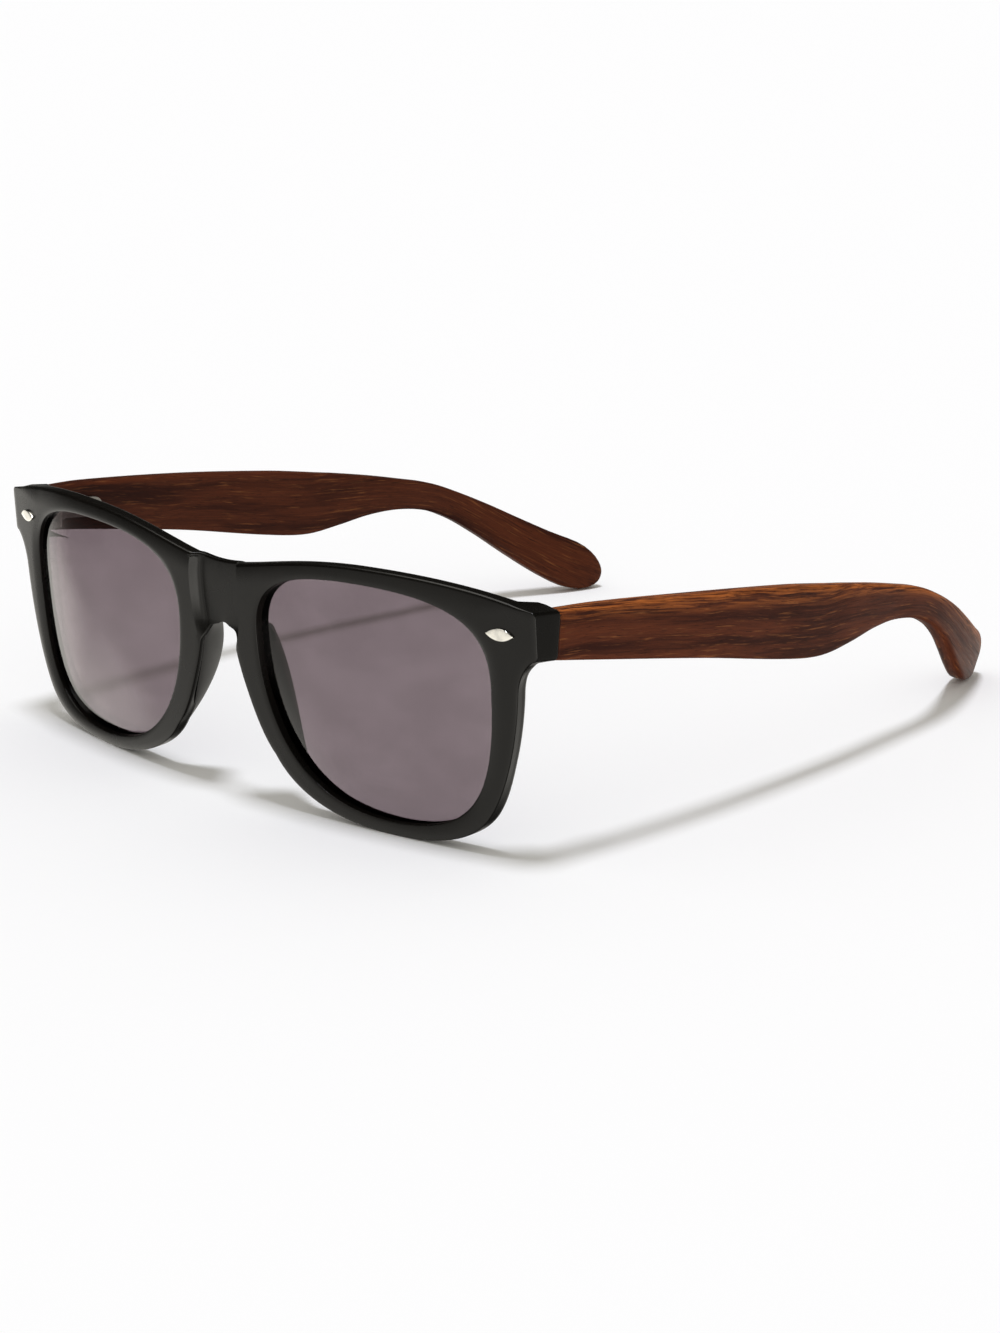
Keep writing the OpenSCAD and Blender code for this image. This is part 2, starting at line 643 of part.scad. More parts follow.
// A nose pad is a soft ridge behind the nasal rim: a shoulder under the bridge, a wide slanting side
// towards the nose, and a fading foot. Its ridge is given as shares of the rim and of the pad's depth.
// Its nose side follows the outline and its lens side the opening; both draw in towards the foot.
PAD_RIDGE = [for (p = [[0.943, 0.4], [0.854, 0.17], [0.884, -0.128], [0.54, -0.766]]) nose_pt(p)];
PAD_RISE = [0.4, 1, 1.28, -0.1];
pad_foot = [NOSE_CURVE - 0.4, 1.5];
pad_ease = 0.4;
ease_part = [0.6, 1];
pad_seat = [1.96, 0.25, 0.48];
slope_part = [0.7, 0.9];
module nose_pad(side) {
    // Shares of the way from the nose side to the ridge and on to the lens side, and of the rise
    profile = [
        [0, 0], [0.3, 0.4], [0.6, 0.73], [0.85, 0.94], [1, 1],
        [1.2, 0.92], [1.5, 0.55], [1.8, 0.2], [2, 0]
    ];
    glue_gap = 0.03;
    least_rise = 0.12;
    shoulder = [0.3, 9];
    steps = 16;
    rings = [for (k = [0 : steps])
        let (
            t = k / steps,
            ease = pad_ease * smooth(ease_part[0], ease_part[1], t),
            foot = outline_pt(pad_foot[0] + pad_foot[1] * t, nose_in + pad_inset + ease),
            off_slope = lip_w * smooth(slope_part[0], slope_part[1], t),
            lens_side = lens_pt(pad_seat * [1, t, t * t], pad_inset + opening_edge + off_slope),
            ridge = bezier(PAD_RIDGE, t),
            rise = max(least_rise, pad_d * bezier(PAD_RISE, t) * min(1, shoulder[0] + shoulder[1] * t))
        ) [for (q = profile)
            let (f = q[0] < 1 ? foot + (ridge - foot) * q[0] : ridge + (lens_side - ridge) * (q[0] - 1))
                [f[0], face(f[0]) + front_t + glue_gap + rise * q[1], f[1]]]];
    color(black) on_side(side) skin(rings);
}

module corner_rivet(side) {
    arc_r = (rivet_len * rivet_len + rivet_w * rivet_w) / (4 * rivet_w);
    color(steel)
        on_side(side)
            at_rivet() {
                translate([0, 0, seat_gap])
                    linear_extrude(rivet_t)
                        intersection_for(up = [-1, 1])
                            translate([0, up * (arc_r - rivet_w / 2)]) circle(r = arc_r);
                rivet_pins(0);
            }
}

module hinge_front_leaf(side) {
    color(steel)
        on_side(side)
            at_hinge() {
                difference() {
                    front_plate(0);
                    cylinder(d = barrel_d + 2 * run_gap, h = 2 * barrel_h, center = true);
                }
                front_arms();
            }
}

module hinge_temple_leaf(side) {
    color(steel)
        on_side(side)
            at_hinge()
                difference() {
                    union() {
                        temple_plate(0);
                        for (k = [1 : 2 : knuckles - 2])
                            translate([0, 0, knuckle_low(k)]) {
                                cylinder(d = barrel_d, h = knuckle_h);
                                translate([arm_start, 0, 0])
                                    cube([arm_w, plate_start + arm_lap, knuckle_h]);
                            }
                    }
                    cylinder(d = bore_d, h = 2 * barrel_h, center = true);
                    at_fixings() leaf_screw(seat_gap);
                }
}

module hinge_screw(side) {
    top = barrel_h / 2;
    color(steel)
        on_side(side)
            at_hinge()
                difference() {
                    union() {
                        translate([0, 0, -top]) cylinder(d = screw_d, h = 2 * top + head_t / 2);
                        translate([0, 0, top + run_gap]) cylinder(d = head_d, h = head_t);
                    }
                    translate([-head_d, -slot_w / 2, top + head_t * 0.6])
                        cube([2 * head_d, slot_w, head_t]);
                }
}

module temple_leaf_screws(side) {
    color(steel) on_side(side) at_hinge() at_fixings() leaf_screw(0);
}

module temple(side) {
    color(wood)
        on_side(side)
            difference() {
                at_temple() translate([0, butt_gap, 0]) skin(TEMPLE_RINGS);
                at_hinge() {
                    temple_plate(seat_gap);
                    at_fixings() leaf_screw(seat_gap);
                    for (k = [1 : 2 : knuckles - 2])
                        translate([arm_start, -arm_lap, knuckle_low(k) - seat_gap])
                            cube([arm_w + seat_gap, plate_start + 2 * arm_lap, knuckle_h + 2 * seat_gap]);
                }
            }
}

front_frame();
lens(1);  // lens_left
lens(-1);  // lens_right
nose_pad(1);  // nose_pad_left
nose_pad(-1);  // nose_pad_right
corner_rivet(1);  // corner_rivet_left
corner_rivet(-1);  // corner_rivet_right
hinge_front_leaf(1);  // hinge_front_leaf_left
hinge_front_leaf(-1);  // hinge_front_leaf_right
hinge_temple_leaf(1);  // hinge_temple_leaf_left
hinge_temple_leaf(-1);  // hinge_temple_leaf_right
hinge_screw(1);  // hinge_screw_left
hinge_screw(-1);  // hinge_screw_right
temple_leaf_screws(1);  // temple_leaf_screws_left
temple_leaf_screws(-1);  // temple_leaf_screws_right
temple(1);  // temple_left
temple(-1);  // temple_right
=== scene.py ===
# Sunglasses with a moulded black front, tinted lenses and folding wooden temples.
# Shapes are drawn in millimetres, upright, with the lenses' middle at height zero. The hinge of the
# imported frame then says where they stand. +X is the wearer's left, -Y the way the wearer looks.
import json
import math
from collections import namedtuple

import bpy
from mathutils import Matrix, Vector
from mathutils.kdtree import KDTree


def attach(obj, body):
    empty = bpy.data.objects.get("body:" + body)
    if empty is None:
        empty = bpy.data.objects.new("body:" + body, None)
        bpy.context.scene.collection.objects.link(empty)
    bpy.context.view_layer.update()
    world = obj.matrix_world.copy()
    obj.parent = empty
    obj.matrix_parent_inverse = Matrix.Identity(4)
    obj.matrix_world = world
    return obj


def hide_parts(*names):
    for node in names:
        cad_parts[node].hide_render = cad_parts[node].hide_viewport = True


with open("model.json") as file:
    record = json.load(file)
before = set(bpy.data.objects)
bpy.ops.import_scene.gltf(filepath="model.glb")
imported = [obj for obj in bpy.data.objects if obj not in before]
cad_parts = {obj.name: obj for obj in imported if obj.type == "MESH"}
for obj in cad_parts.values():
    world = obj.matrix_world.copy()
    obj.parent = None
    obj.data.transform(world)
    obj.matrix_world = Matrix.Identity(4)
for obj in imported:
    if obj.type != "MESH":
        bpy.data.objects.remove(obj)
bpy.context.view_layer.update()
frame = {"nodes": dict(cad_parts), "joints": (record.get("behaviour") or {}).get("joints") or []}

MM = 0.001

# Lenses
LENS_W = 52.1  # width of an opening
LENS_H = 42.2  # height of an opening
LENS_T = 1.2  # thickness
LENS_CROWN = 2.0  # how far the middle bulges before the edge
LENS_SEAT = 1.55  # depth of the nasal edge behind the face of the rim
LENS_LEAN = 0.25  # how much nearer to the face the temple edge lies
LIP_T = 0.35  # thickness of the lip behind the lens
LIP_W = 1.8  # width of the slope from that lip to the back
LENS_CLEAR = 0.06  # gap between lens and groove
GROOVE_D = 0.8  # depth of the groove

# Front
BRIDGE_W = 21.8  # distance between the openings
BRIDGE_H = 11.7  # height of the bridge at its middle
BRIDGE_DIP = 4.3  # how far the bridge's top lies below the brow
BRIDGE_RECESS = 1.8  # how far the bridge's face lies behind the rims
RIM_TOP = 2.9  # height of the rim over an opening
RIM_BOTTOM = 2.4  # height of the rim under an opening
RIM_SIDE = 4.8  # width of the rim at the temple side
RIM_NOSE = 6.8  # width of the rim at the nose side
FRONT_T = 3.8  # thickness from face to back
FACE_R = 280.0  # radius of the curve that the face wraps round
EDGE_R = 0.18  # radius of the front edges
BROW_R = 0.5  # radius of the front edge along the brow
NOSE_R = 0.3  # radius of the front edge beside the nose
NOSE_IN = 0.9  # how far the nasal edges draw in
NOSE_FLARE = 1.5  # how far the nasal wall leans in towards the back
SIDE_FLARE = 0.5  # how far the temple-side wall leans in towards the back
WALL_KEEP = 1.0  # depth at which the nasal wall starts to lean
BACK_R = 1.8  # radius of the back edges of the rims
BUTT_EDGE = 0.3  # radius of the back edges of the end pieces and the nasal rims
OPENING_EDGE = 0.12  # radius of the front edge of an opening
CORNER_R = 0.9  # radius of the end pieces' corners
END_REACH = 4.7  # reach of an end piece past the rim
END_H = 8.6  # height of an end piece
END_DROP = 7.6  # drop from the brow to the middle of an end piece
END_T = 5.5  # depth of an end piece from face to butt joint
WALL_RAMP = 0.8  # run of the slope from an end piece to the back of the rim

# Nose pads
PAD_D = 5.1  # how far a pad stands behind the front
PAD_INSET = 0.4  # distance of a pad's inner edge from the opening

# Temples
TEMPLE_LEN = 140.2  # length from butt joint to tip
TEMPLE_T = 4.0  # thickness
TEMPLE_H = 13.3  # greatest height
NECK_H = 6.0  # height at the bend over the ear
TIP_H = 10.8  # height of the tip
TEMPLE_DROP = math.radians(9)  # slope down from the front
EAR_DROP = 20.4  # how far the tip drops
TIP_INSET = 18.3  # how far the tip curls in
TIP_ROUND = 9.0  # length of the tip's rounding
TEMPLE_EDGE = 1.15  # radius of the long edges
TEMPLE_CHAMFER = 0.18  # chamfer round the butt joint
BUTT_GAP = 0.06  # gap in the butt joint
BARREL_D = 2.8  # diameter of the hinge barrel
BARREL_ROOM = 0.35  # distance between barrel and temple

# Corner rivets
RIVET_LEN = 5.5
RIVET_W = 2.2
RIVET_T = 0.36
RIVET_IN = 6.8  # distance of the middle from the end piece's outer side
RIVET_DROP = 0.1  # distance of the middle below the end piece's middle
RIVET_TURN = math.radians(2)
SEAT_GAP = 0.03  # lift of the plate off the face

# Worked out from the sizes above
LENS_A = LENS_W / 2
LENS_B = LENS_H / 2
LENS_X = BRIDGE_W / 2 + LENS_A
SIDE_A = LENS_A + RIM_SIDE
NOSE_A = LENS_A + RIM_NOSE
LOW_B = LENS_B + RIM_BOTTOM
BROW_Z = LENS_B + RIM_TOP
BRIDGE_TOP = BROW_Z - BRIDGE_DIP
BRIDGE_LOW = BRIDGE_TOP - BRIDGE_H
HALF_W = LENS_X + SIDE_A + END_REACH
END_Z = BROW_Z - END_DROP
END_TOP = END_Z + END_H / 2
END_LOW = END_Z - END_H / 2
WALL_X = HALF_W - TEMPLE_T
TEMPLE_X = HALF_W - TEMPLE_T / 2
AXIS_X = WALL_X - BARREL_D / 2 - BARREL_ROOM
SLOPE = math.tan(TEMPLE_DROP)


def face(u):
    """Depth of the wrapped face at distance u from the middle."""
    return FACE_R - math.sqrt(FACE_R * FACE_R - u * u)


def seat_depth(x):
    """Depth of a lens's front edge behind the face, at a distance from the middle."""
    return LENS_SEAT - LENS_LEAN * (x - LENS_X + LENS_A) / LENS_W


BUTT_Y = face(HALF_W) + END_T
BUTT_Z = END_Z - END_T * SLOPE

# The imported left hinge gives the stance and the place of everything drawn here
LEFT_HINGE = next(j for j in frame["joints"] if j["name"] == "left_hinge")
HINGE_AXIS = Vector(LEFT_HINGE["axis"])
STANCE = TEMPLE_DROP - math.atan2(HINGE_AXIS.y, HINGE_AXIS.z)
TILT = Matrix.Rotation(STANCE, 4, "X") @ Matrix.Scale(MM, 4)
HINGE_DRAWN = Vector((AXIS_X, BUTT_Y, BUTT_Z))
STAND = Matrix.Translation(Vector(LEFT_HINGE["pos_m"]) - TILT @ HINGE_DRAWN) @ TILT


# Curves

def bezier(p, t):
    """A point on a cubic curve, or a number where p holds numbers."""
    s = 1 - t
    return s * s * s * p[0] + 3 * s * s * t * p[1] + 3 * s * t * t * p[2] + t * t * t * p[3]


def bezier_way(p, t):
    """The way that a cubic curve runs."""
    s = 1 - t
    return s * s * (p[1] - p[0]) + 2 * s * t * (p[2] - p[1]) + t * t * (p[3] - p[2])


def inward(way):
    """The normal to the left of a way, which is the inner side of an anticlockwise outline."""
    return Vector((-way.y, way.x)).normalized()


def smooth(a, b, x):
    """A soft rise from 0 at a to 1 at b."""
    t = min(1.0, max(0.0, (x - a) / (b - a)))
    return t * t * (3 - 2 * t)


def quarter(steps):
    """Angles from 0 to a right angle."""
    return [math.pi / 2 * k / steps for k in range(steps + 1)]


def line(p, q):
    """A straight line, written as a cubic curve."""
    return [p, p.lerp(q, 1 / 3), p.lerp(q, 2 / 3), q]


def corner(p, k, q):
    """A rounded corner from p to q round the point k."""
    arc_pull = 0.55
    return [p, p.lerp(k, arc_pull), q.lerp(k, arc_pull), q]


# One lens outline: four curves through its extreme points, on a half width and half height of 1
LENS_CURVES = [
    [Vector(p) for p in curve] for curve in (
        ((1, 0.3), (1, 0.82), (0.74, 1), (0, 1)),
        ((0, 1), (-0.72, 1), (-1, 0.83), (-1, 0.4)),
        ((-1, 0.4), (-1, -0.29), (-0.7, -1), (0.12, -1)),
        ((0.12, -1), (0.81, -1), (1, -0.66), (1, 0.3)),
    )
]


def lens_point(turn, grow=0.0):
    """A point on the lens outline, where turn counts its four curves, moved outwards by grow."""
    k = math.floor(turn) % 4
    s = turn - math.floor(turn)
    curve = [Vector((LENS_X + LENS_A * p.x, LENS_B * p.y)) for p in LENS_CURVES[k]]
    return bezier(curve, s) - grow * inward(bezier_way(curve, s))


# Outline of the front

def side_pt(across, up):
    """A point from the lens's middle towards the temple, in shares of the rim's half sizes."""
    return Vector((LENS_X + SIDE_A * across, LOW_B * up))


def nose_pt(across, up):
    """A point from the lens's middle towards the nose, in shares of the rim's half sizes."""
    return Vector((LENS_X - NOSE_A * across, LOW_B * up))


SIDE_FOOT = side_pt(1.02, 0.25)
SIDE_LOW = side_pt(0.8, -0.73)
NOSE_LOW = nose_pt(0.709, -0.586)
NOSE_HIGH = nose_pt(1, 0.166)
NOSE_PULL = nose_pt(1.035, 0.28)
NOSE_TOP = Vector((NOSE_HIGH.x * 0.36, BRIDGE_LOW))
BOTTOM_MID = Vector((LENS_X + SIDE_A * 0.127, -LOW_B))

CORNER_IN = Vector((CORNER_R, 0))
CORNER_UP = Vector((0, CORNER_R))
END_CORNER = Vector((HALF_W, END_LOW))
TOP_CORNER = Vector((HALF_W, END_TOP))
FILLET_UP = Vector((0.2, 2.7))
FILLET_IN = Vector((-2.6, -1.1))

BROW_LIFT = 0.1
BROW_CORNER = Vector((HALF_W, END_TOP + BROW_LIFT))
BROW_END = Vector((HALF_W - CORNER_R, END_TOP + BROW_LIFT))
BROW_OUT = Vector((-0.345, 0.084))
BROW_OVER = Vector((0.537, 0.008))
BROW_MID = Vector((LENS_X + 1, BROW_Z))
BROW_IN = Vector((LENS_X * 0.54, BROW_Z - 0.1))
BRIDGE_OUT = Vector((LENS_X * 0.242, BRIDGE_TOP))
BRIDGE_HIGH = Vector((0, BRIDGE_TOP))
BRIDGE_ARCH = Vector((0, BRIDGE_LOW))

# Half outline, anticlockwise from the temple-side rim. Each row holds a curve, where it starts and
# ends on the lens outline, and its steps.
OUTLINE = [
    ([SIDE_FOOT, SIDE_FOOT + FILLET_UP, END_CORNER + FILLET_IN, END_CORNER - CORNER_IN], 0, 0.2, 18),
    (corner(END_CORNER - CORNER_IN, END_CORNER, END_CORNER + CORNER_UP), 0.2, 0.27, 5),
    (line(END_CORNER + CORNER_UP, TOP_CORNER - CORNER_UP), 0.27, 0.42, 8),
    (corner(TOP_CORNER - CORNER_UP, BROW_CORNER, BROW_END), 0.42, 0.47, 5),
    ([BROW_END, BROW_END + LENS_A * BROW_OUT, BROW_MID + LENS_A * BROW_OVER, BROW_MID], 0.47, 1, 32),
    ([BROW_MID, BROW_IN, BRIDGE_OUT, BRIDGE_HIGH], 1, 1.72, 36),
    (line(BRIDGE_HIGH, BRIDGE_ARCH), 1.72, 2.02, 5),
    ([BRIDGE_ARCH, NOSE_TOP, NOSE_PULL, NOSE_HIGH], 2.02, 2.2, 18),
    ([NOSE_HIGH, nose_pt(0.955, -0.102), nose_pt(0.847, -0.429), NOSE_LOW], 2.2, 2.56, 24),
    ([NOSE_LOW, nose_pt(0.52, -0.925), nose_pt(0.156, -1), BOTTOM_MID], 2.56, 3, 24),
    ([BOTTOM_MID, side_pt(0.42, -1), side_pt(0.676, -0.95), SIDE_LOW], 3, 3.5, 24),
    ([SIDE_LOW, side_pt(0.935, -0.487), side_pt(1.003, -0.07), SIDE_FOOT], 3.5, 4, 24),
]
FILLET_ROW = 0
BROW_ROW = 4
BRIDGE_ROW = 5
BRIDGE_CUT = 6
NOSE_ROW = 8
SIDE_ROW = 11


def outline_point(turn, inset):
    """A point on the outline, where turn counts its rows, moved inwards."""
    k = min(math.floor(turn), len(OUTLINE) - 1)
    curve = OUTLINE[k][0]
    s = turn - k
    return bezier(curve, s) + inset * inward(bezier_way(curve, s))


# Bridge: the faces of the rims end in a bowed crease, and ramp down to the bridge between the creases
CREASE_IN = 4.0  # how far inside the openings the crease lies
CREASE_BOW = 0.016  # how strongly it bows
CREASE_MID = BRIDGE_TOP - BRIDGE_H * 0.45  # height of the middle of the bow
CREASE_STRAIGHT = 0.75  # run of the even part of the ramp
CREASE_TAPER = 0.85  # run over which the ramp levels out
CREASE_SLOPE = BRIDGE_RECESS / (CREASE_STRAIGHT + CREASE_TAPER / 2)
CREASE_FADE = (0.1 * LOW_B, 0.36 * LOW_B)  # heights between which the step fades in


def crease_at(z):
    """Distance of the crease from the middle at height z."""
    return BRIDGE_W / 2 - CREASE_IN - CREASE_BOW * (z - CREASE_MID) ** 2


def bridge_depth(p):
    """How far the bridge lies behind the face at a point."""
    past = max(0.0, crease_at(p.y) - abs(p.x))
    tapered = min(CREASE_TAPER, max(0.0, past - CREASE_STRAIGHT))
    ramp = min(past, CREASE_STRAIGHT) + tapered - tapered ** 2 / CREASE_TAPER / 2
    return CREASE_SLOPE * ramp * smooth(*CREASE_FADE, p.y)


def front_point(p, depth, block=0.0):
    """A point of the front from its place in the face, its depth and the share of the end block."""
    dip = bridge_depth(p)
    y = face(p.x) + max(depth, dip + depth * (1 - dip / FRONT_T))
    return Vector((p.x, y, p.y - depth * SLOPE * block))


def back_depth(p, block):
    """Depth of the back: flat behind the rims, sloped like the butt joint at the end block."""
    sloped = (BUTT_Y - face(p.x) + (p.y - BUTT_Z) * SLOPE) * math.cos(TEMPLE_DROP) ** 2
    return FRONT_T + block * (sloped - FRONT_T)


# Shares of the front's features along the outline, at a share t of its row k

# Stretches, in rows from the nasal one, over which the nasal edge comes in and goes out
NASAL_IN = (-0.7, -0.3)
NASAL_OUT = (0.3, 1.2)
# Stretches of the brow's row over which its fall and its rounder edge come in
BROW_FALL_IN = (0.1, 0.4)
BROW_EDGE_IN = (0, 0.1)


def block_share(k, o):
    """How much of the end block is there at a point of the outline's row k."""
    rise = 0.8
    run = 1.2
    if k == FILLET_ROW:
        return smooth(END_LOW - rise, END_LOW, o.y)
    if k < BROW_ROW:
        return 1.0
    return smooth(WALL_X - run, WALL_X, o.x) if k == BROW_ROW else 0.0


def nasal_share(k, t):
    """How much of the nasal edge is there: its front is rounder, and its back stays square."""
    u = k + t - NOSE_ROW
    return smooth(*NASAL_IN, u) * (1 - smooth(*NASAL_OUT, u))


def brow_share(k, t, stretch):
    """How much of the brow is there. From the end piece it comes in over a stretch of its row."""
    if k == BROW_ROW:
        return smooth(*stretch, t)
    return 1.0 if k == BRIDGE_ROW else 0.0


def side_share(k, t):
    """How much of the temple-side wall is there, which leans in towards the back."""
    comes_in = (0, 0.5)
    goes_out = (0.3, 0.8)
    if k == FILLET_ROW:
        return 1 - smooth(*goes_out, t)
    return smooth(*comes_in, t) if k == SIDE_ROW else 0.0


# Soft crown of the face: it falls away towards its edges. Each pair holds the width and the depth of
# the fall, first the plain one and then what is added at the brow or at the temple side.
EDGE_FALL = ((1.2, 0.1), (2.4, 0.35))
OPENING_FALL = ((1.0, 0.12), (1.8, 0.33))
EDGE_STEPS = 160
EDGE_ROWS = [k for k in range(len(OUTLINE)) if k != BRIDGE_CUT]


def fall_at(fall, share):
    """Width and depth of a fall with a share of what is added to it."""
    plain, added = fall
    return plain[0] + added[0] * share, plain[1] + added[1] * share


def on_edge(number):
    """A point on the outer edge, and the width and depth of the fall towards it."""
    k = EDGE_ROWS[number // EDGE_STEPS]
    t = number % EDGE_STEPS / EDGE_STEPS
    brow = brow_share(k, t, BROW_FALL_IN)
    return outline_point(k + t, NOSE_IN * nasal_share(k, t)), fall_at(EDGE_FALL, brow)


def on_opening(number):
    """A point on the opening, and the width and depth of the fall towards it."""
    comes_in = (2.9, 3.5)
    goes_out = (0.1, 0.7)
    turn = number / EDGE_STEPS
    temple_side = smooth(*comes_in, turn) + 1 - smooth(*goes_out, turn)
    return lens_point(turn), fall_at(OPENING_FALL, temple_side)


def along(find, count):
    """A search tree over numbered points on a line, and what find says of each."""
    tree = KDTree(count)
    told = []
    for k in range(count):
        point, values = find(k)
        tree.insert((point.x, point.y, 0), k)
        told.append(values)
    tree.balance()
    return tree, told


FACE_EDGES = [along(on_edge, EDGE_STEPS * len(EDGE_ROWS)), along(on_opening, EDGE_STEPS * 4)]


def face_fall(p):
    """How far the softly crowned face lies back at a point, near its outer edge and the opening."""
    fall = 0.0
    for tree, told in FACE_EDGES:
        _, number, distance = tree.find((p.x, p.y, 0))
        reach, depth = told[number]
        fall += depth * max(0.0, 1 - distance / reach) ** 2
    return fall


# Sections of the rim

# A place round one half of the front: a point on the opening and its outward normal, a point on the
# outer edge and its inward normal, the shares of the features there, and whether the half is cut there
Station = namedtuple("Station", "lens out edge into block nasal brow side cut")


def stations():
    """The places round one half of the front at which its sections stand."""
    found = []
    for k, (curve, turn_from, turn_to, steps) in enumerate(OUTLINE):
        first = 1 if k == BRIDGE_CUT else 0
        last = steps if k == BRIDGE_CUT - 1 else steps - 1
        for j in range(first, last + 1):
            t = j / steps
            turn = turn_from + (turn_to - turn_from) * t
            nasal = nasal_share(k, t)
            edge = outline_point(k + t, NOSE_IN * nasal)
            lens = lens_point(turn)
            found.append(Station(
                lens, lens_point(turn, 1) - lens, edge, inward(bezier_way(curve, t)),
                block_share(k, edge), nasal, brow_share(k, t, BROW_EDGE_IN), side_share(k, t),
                k == BRIDGE_CUT,
            ))
    return found


def edge_radii(s):
    """Radii of the front and the back of the outer edge. The cut at the bridge is square."""
    round_share = 0.7
    if s.cut:
        return 0.0, 0.0
    square = max(s.block, s.nasal)
    front_r = EDGE_R + (NOSE_R - EDGE_R) * s.nasal + (BROW_R - EDGE_R) * s.brow
    soft_r = min(BACK_R, round_share * (s.edge - s.lens).length)
    return front_r, soft_r * (1 - square) + BUTT_EDGE * square


def face_shares(i, o):
    """Where the rows of the face lie between opening and front edge. One of them runs along the
    crease, and they crowd together just past it."""
    least = 0.3
    most = 0.93
    to_crease = 9
    past_crease = 14
    crowd = 1.5
    share = 0.7
    if i.x - o.x > 1:
        for _ in range(3):
            crease = crease_at(i.y + (o.y - i.y) * share)
            share = min(most, max(least, (i.x - crease) / (i.x - o.x)))
    near = [share * k / to_crease for k in range(1, to_crease + 1)]
    far = [share + (1 - share) * (k / past_crease) ** crowd for k in range(1, past_crease)]
    return near + far


def face_rows(s, front_r):
    """The edge of the opening and the face, up to the outer edge."""
    start = s.lens + s.out * OPENING_EDGE
    stop = s.edge + s.into * front_r
    rows = []
    for a in quarter(3):
        p = s.lens + s.out * OPENING_EDGE * (1 - math.cos(a))
        rows.append(front_point(p, face_fall(p) + OPENING_EDGE * (1 - math.sin(a))))
    for f in face_shares(start, stop):
        p = start.lerp(stop, f)
        rows.append(front_point(p, face_fall(p)))
    return rows


def edge_rows(s, front_r, back_r, flare):
    """The outer edge: its rounded front, its wall, which leans in by the flare, and its rounded back."""
    rows = []
    for a in reversed(quarter(6)):
        p = s.edge + s.into * front_r * (1 - math.cos(a))
        rows.append(front_point(p, face_fall(p) + front_r * (1 - math.sin(a)), s.block))
    foot = back_depth(s.edge, s.block) - back_r
    top = min(max(face_fall(s.edge) + front_r, WALL_KEEP * s.nasal), foot)
    for f in (0, 1 / 3, 2 / 3):
        rows.append(front_point(s.edge + s.into * flare * f, top + (foot - top) * f, s.block))
    for a in quarter(8):
        p = s.edge + s.into * (flare + back_r * (1 - math.cos(a)))
        rows.append(front_point(p, back_depth(p, s.block) - back_r * (1 - math.sin(a)), s.block))
    return rows


def groove_walls(x):
    """Depths of the front and the back wall of the groove, at a distance from the middle."""
    return seat_depth(x) - LENS_CLEAR, seat_depth(x) + LENS_T + LENS_CLEAR


def back_rows(s, taken):
    """The back, from the outer edge, which has taken some of the width, to the lip behind the lens."""
    row_share = 0.04
    wall_share = 0.5
    foot_share = 0.7
    lip_share = 0.8
    lip_edge = 0.15
    least = 0.01
    span = s.edge - s.lens
    reach = max(span.x, least)
    wide = max(-s.into.dot(span), taken + least)
    wall = max(taken / wide + row_share, min(wall_share, (s.edge.x - WALL_X) / reach))
    foot = max(wall + row_share, min(foot_share, (s.edge.x - WALL_X + WALL_RAMP) / reach))
    wall_p = s.edge - span * wall
    foot_p = s.edge - span * foot
    slope_p = s.lens + s.out * min(LIP_W, span.length * (1 - foot) * lip_share)
    lip_p = s.lens + s.out * lip_edge
    lip = min(FRONT_T, groove_walls(s.lens.x)[1] + LIP_T)
    lip += (FRONT_T - lip) * s.nasal
    rows = [front_point(wall_p, back_depth(wall_p, s.block), s.block)]
    for p in (foot_p, foot_p.lerp(slope_p, 0.5), slope_p):
        rows.append(front_point(p, FRONT_T))
    rows.append(front_point(slope_p.lerp(lip_p, 0.5), (FRONT_T + lip) / 2))
    for a in reversed(quarter(3)):
        p = s.lens + s.out * lip_edge * (1 - math.cos(a))
        rows.append(front_point(p, lip - lip_edge * (1 - math.sin(a))))
    return rows


def groove_rows(s):
    """The groove that holds the lens, from its back wall to its front wall."""
    front, back = groove_walls(s.lens.x)
    corners = ((0, back), (GROOVE_D, back), (GROOVE_D, front), (0, front))
    return [front_point(s.lens + s.out * grow, depth) for grow, depth in corners]


def rim_section(s):
    """The closed section of the rim at one station, from the opening over the face to the back.
    Also says between which rows the outer edge lies."""
    front_r, back_r = edge_radii(s)
    flare = NOSE_FLARE * s.nasal + SIDE_FLARE * s.side
    rows = face_rows(s, front_r)
    first = len(rows)
    rows += edge_rows(s, front_r, back_r, flare)
    last = len(rows) - 1
    return rows + back_rows(s, back_r + flare) + groove_rows(s), first, last


# Pieces

def make_piece(name, points, faces, material, body, node, side=1, sharp=35.0):
    """Makes a piece from points drawn in millimetres, on the left for side 1 and the right for -1.
    It rides on a body and replaces a node. Edges steeper than the angle sharp stay sharp."""
    used = sorted({v for f in faces for v in f})
    index = {v: k for k, v in enumerate(used)}
    placed = [STAND @ Vector((points[v][0] * side, points[v][1], points[v][2])) for v in used]
    turned = [[index[v] for v in f][::side] for f in faces]
    mesh = bpy.data.meshes.new(name)
    mesh.from_pydata(placed, [], turned)
    mesh.shade_smooth()
    mesh.set_sharp_from_angle(angle=math.radians(sharp))
    mesh.materials.append(material)
    piece = bpy.data.objects.new(name, mesh)
    bpy.context.scene.collection.objects.link(piece)
    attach(piece, body)
    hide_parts(node)
    return piece


def joined(rings):
    """The points of all rings in one list."""
    return [p for ring in rings for p in ring]


def skin(rings):
    """Faces over rings with the same number of points, closed at both ends."""
    m = len(rings[0])
    faces = []
    for k in range(len(rings) - 1):
        for j in range(m):
            a = k * m + j
            b = k * m + (j + 1) % m
            faces.append([a, a + m, b + m, b])
    last = (len(rings) - 1) * m
    faces.append(list(range(m)))
    faces.append([last + j for j in range(m - 1, -1, -1)])
    return faces


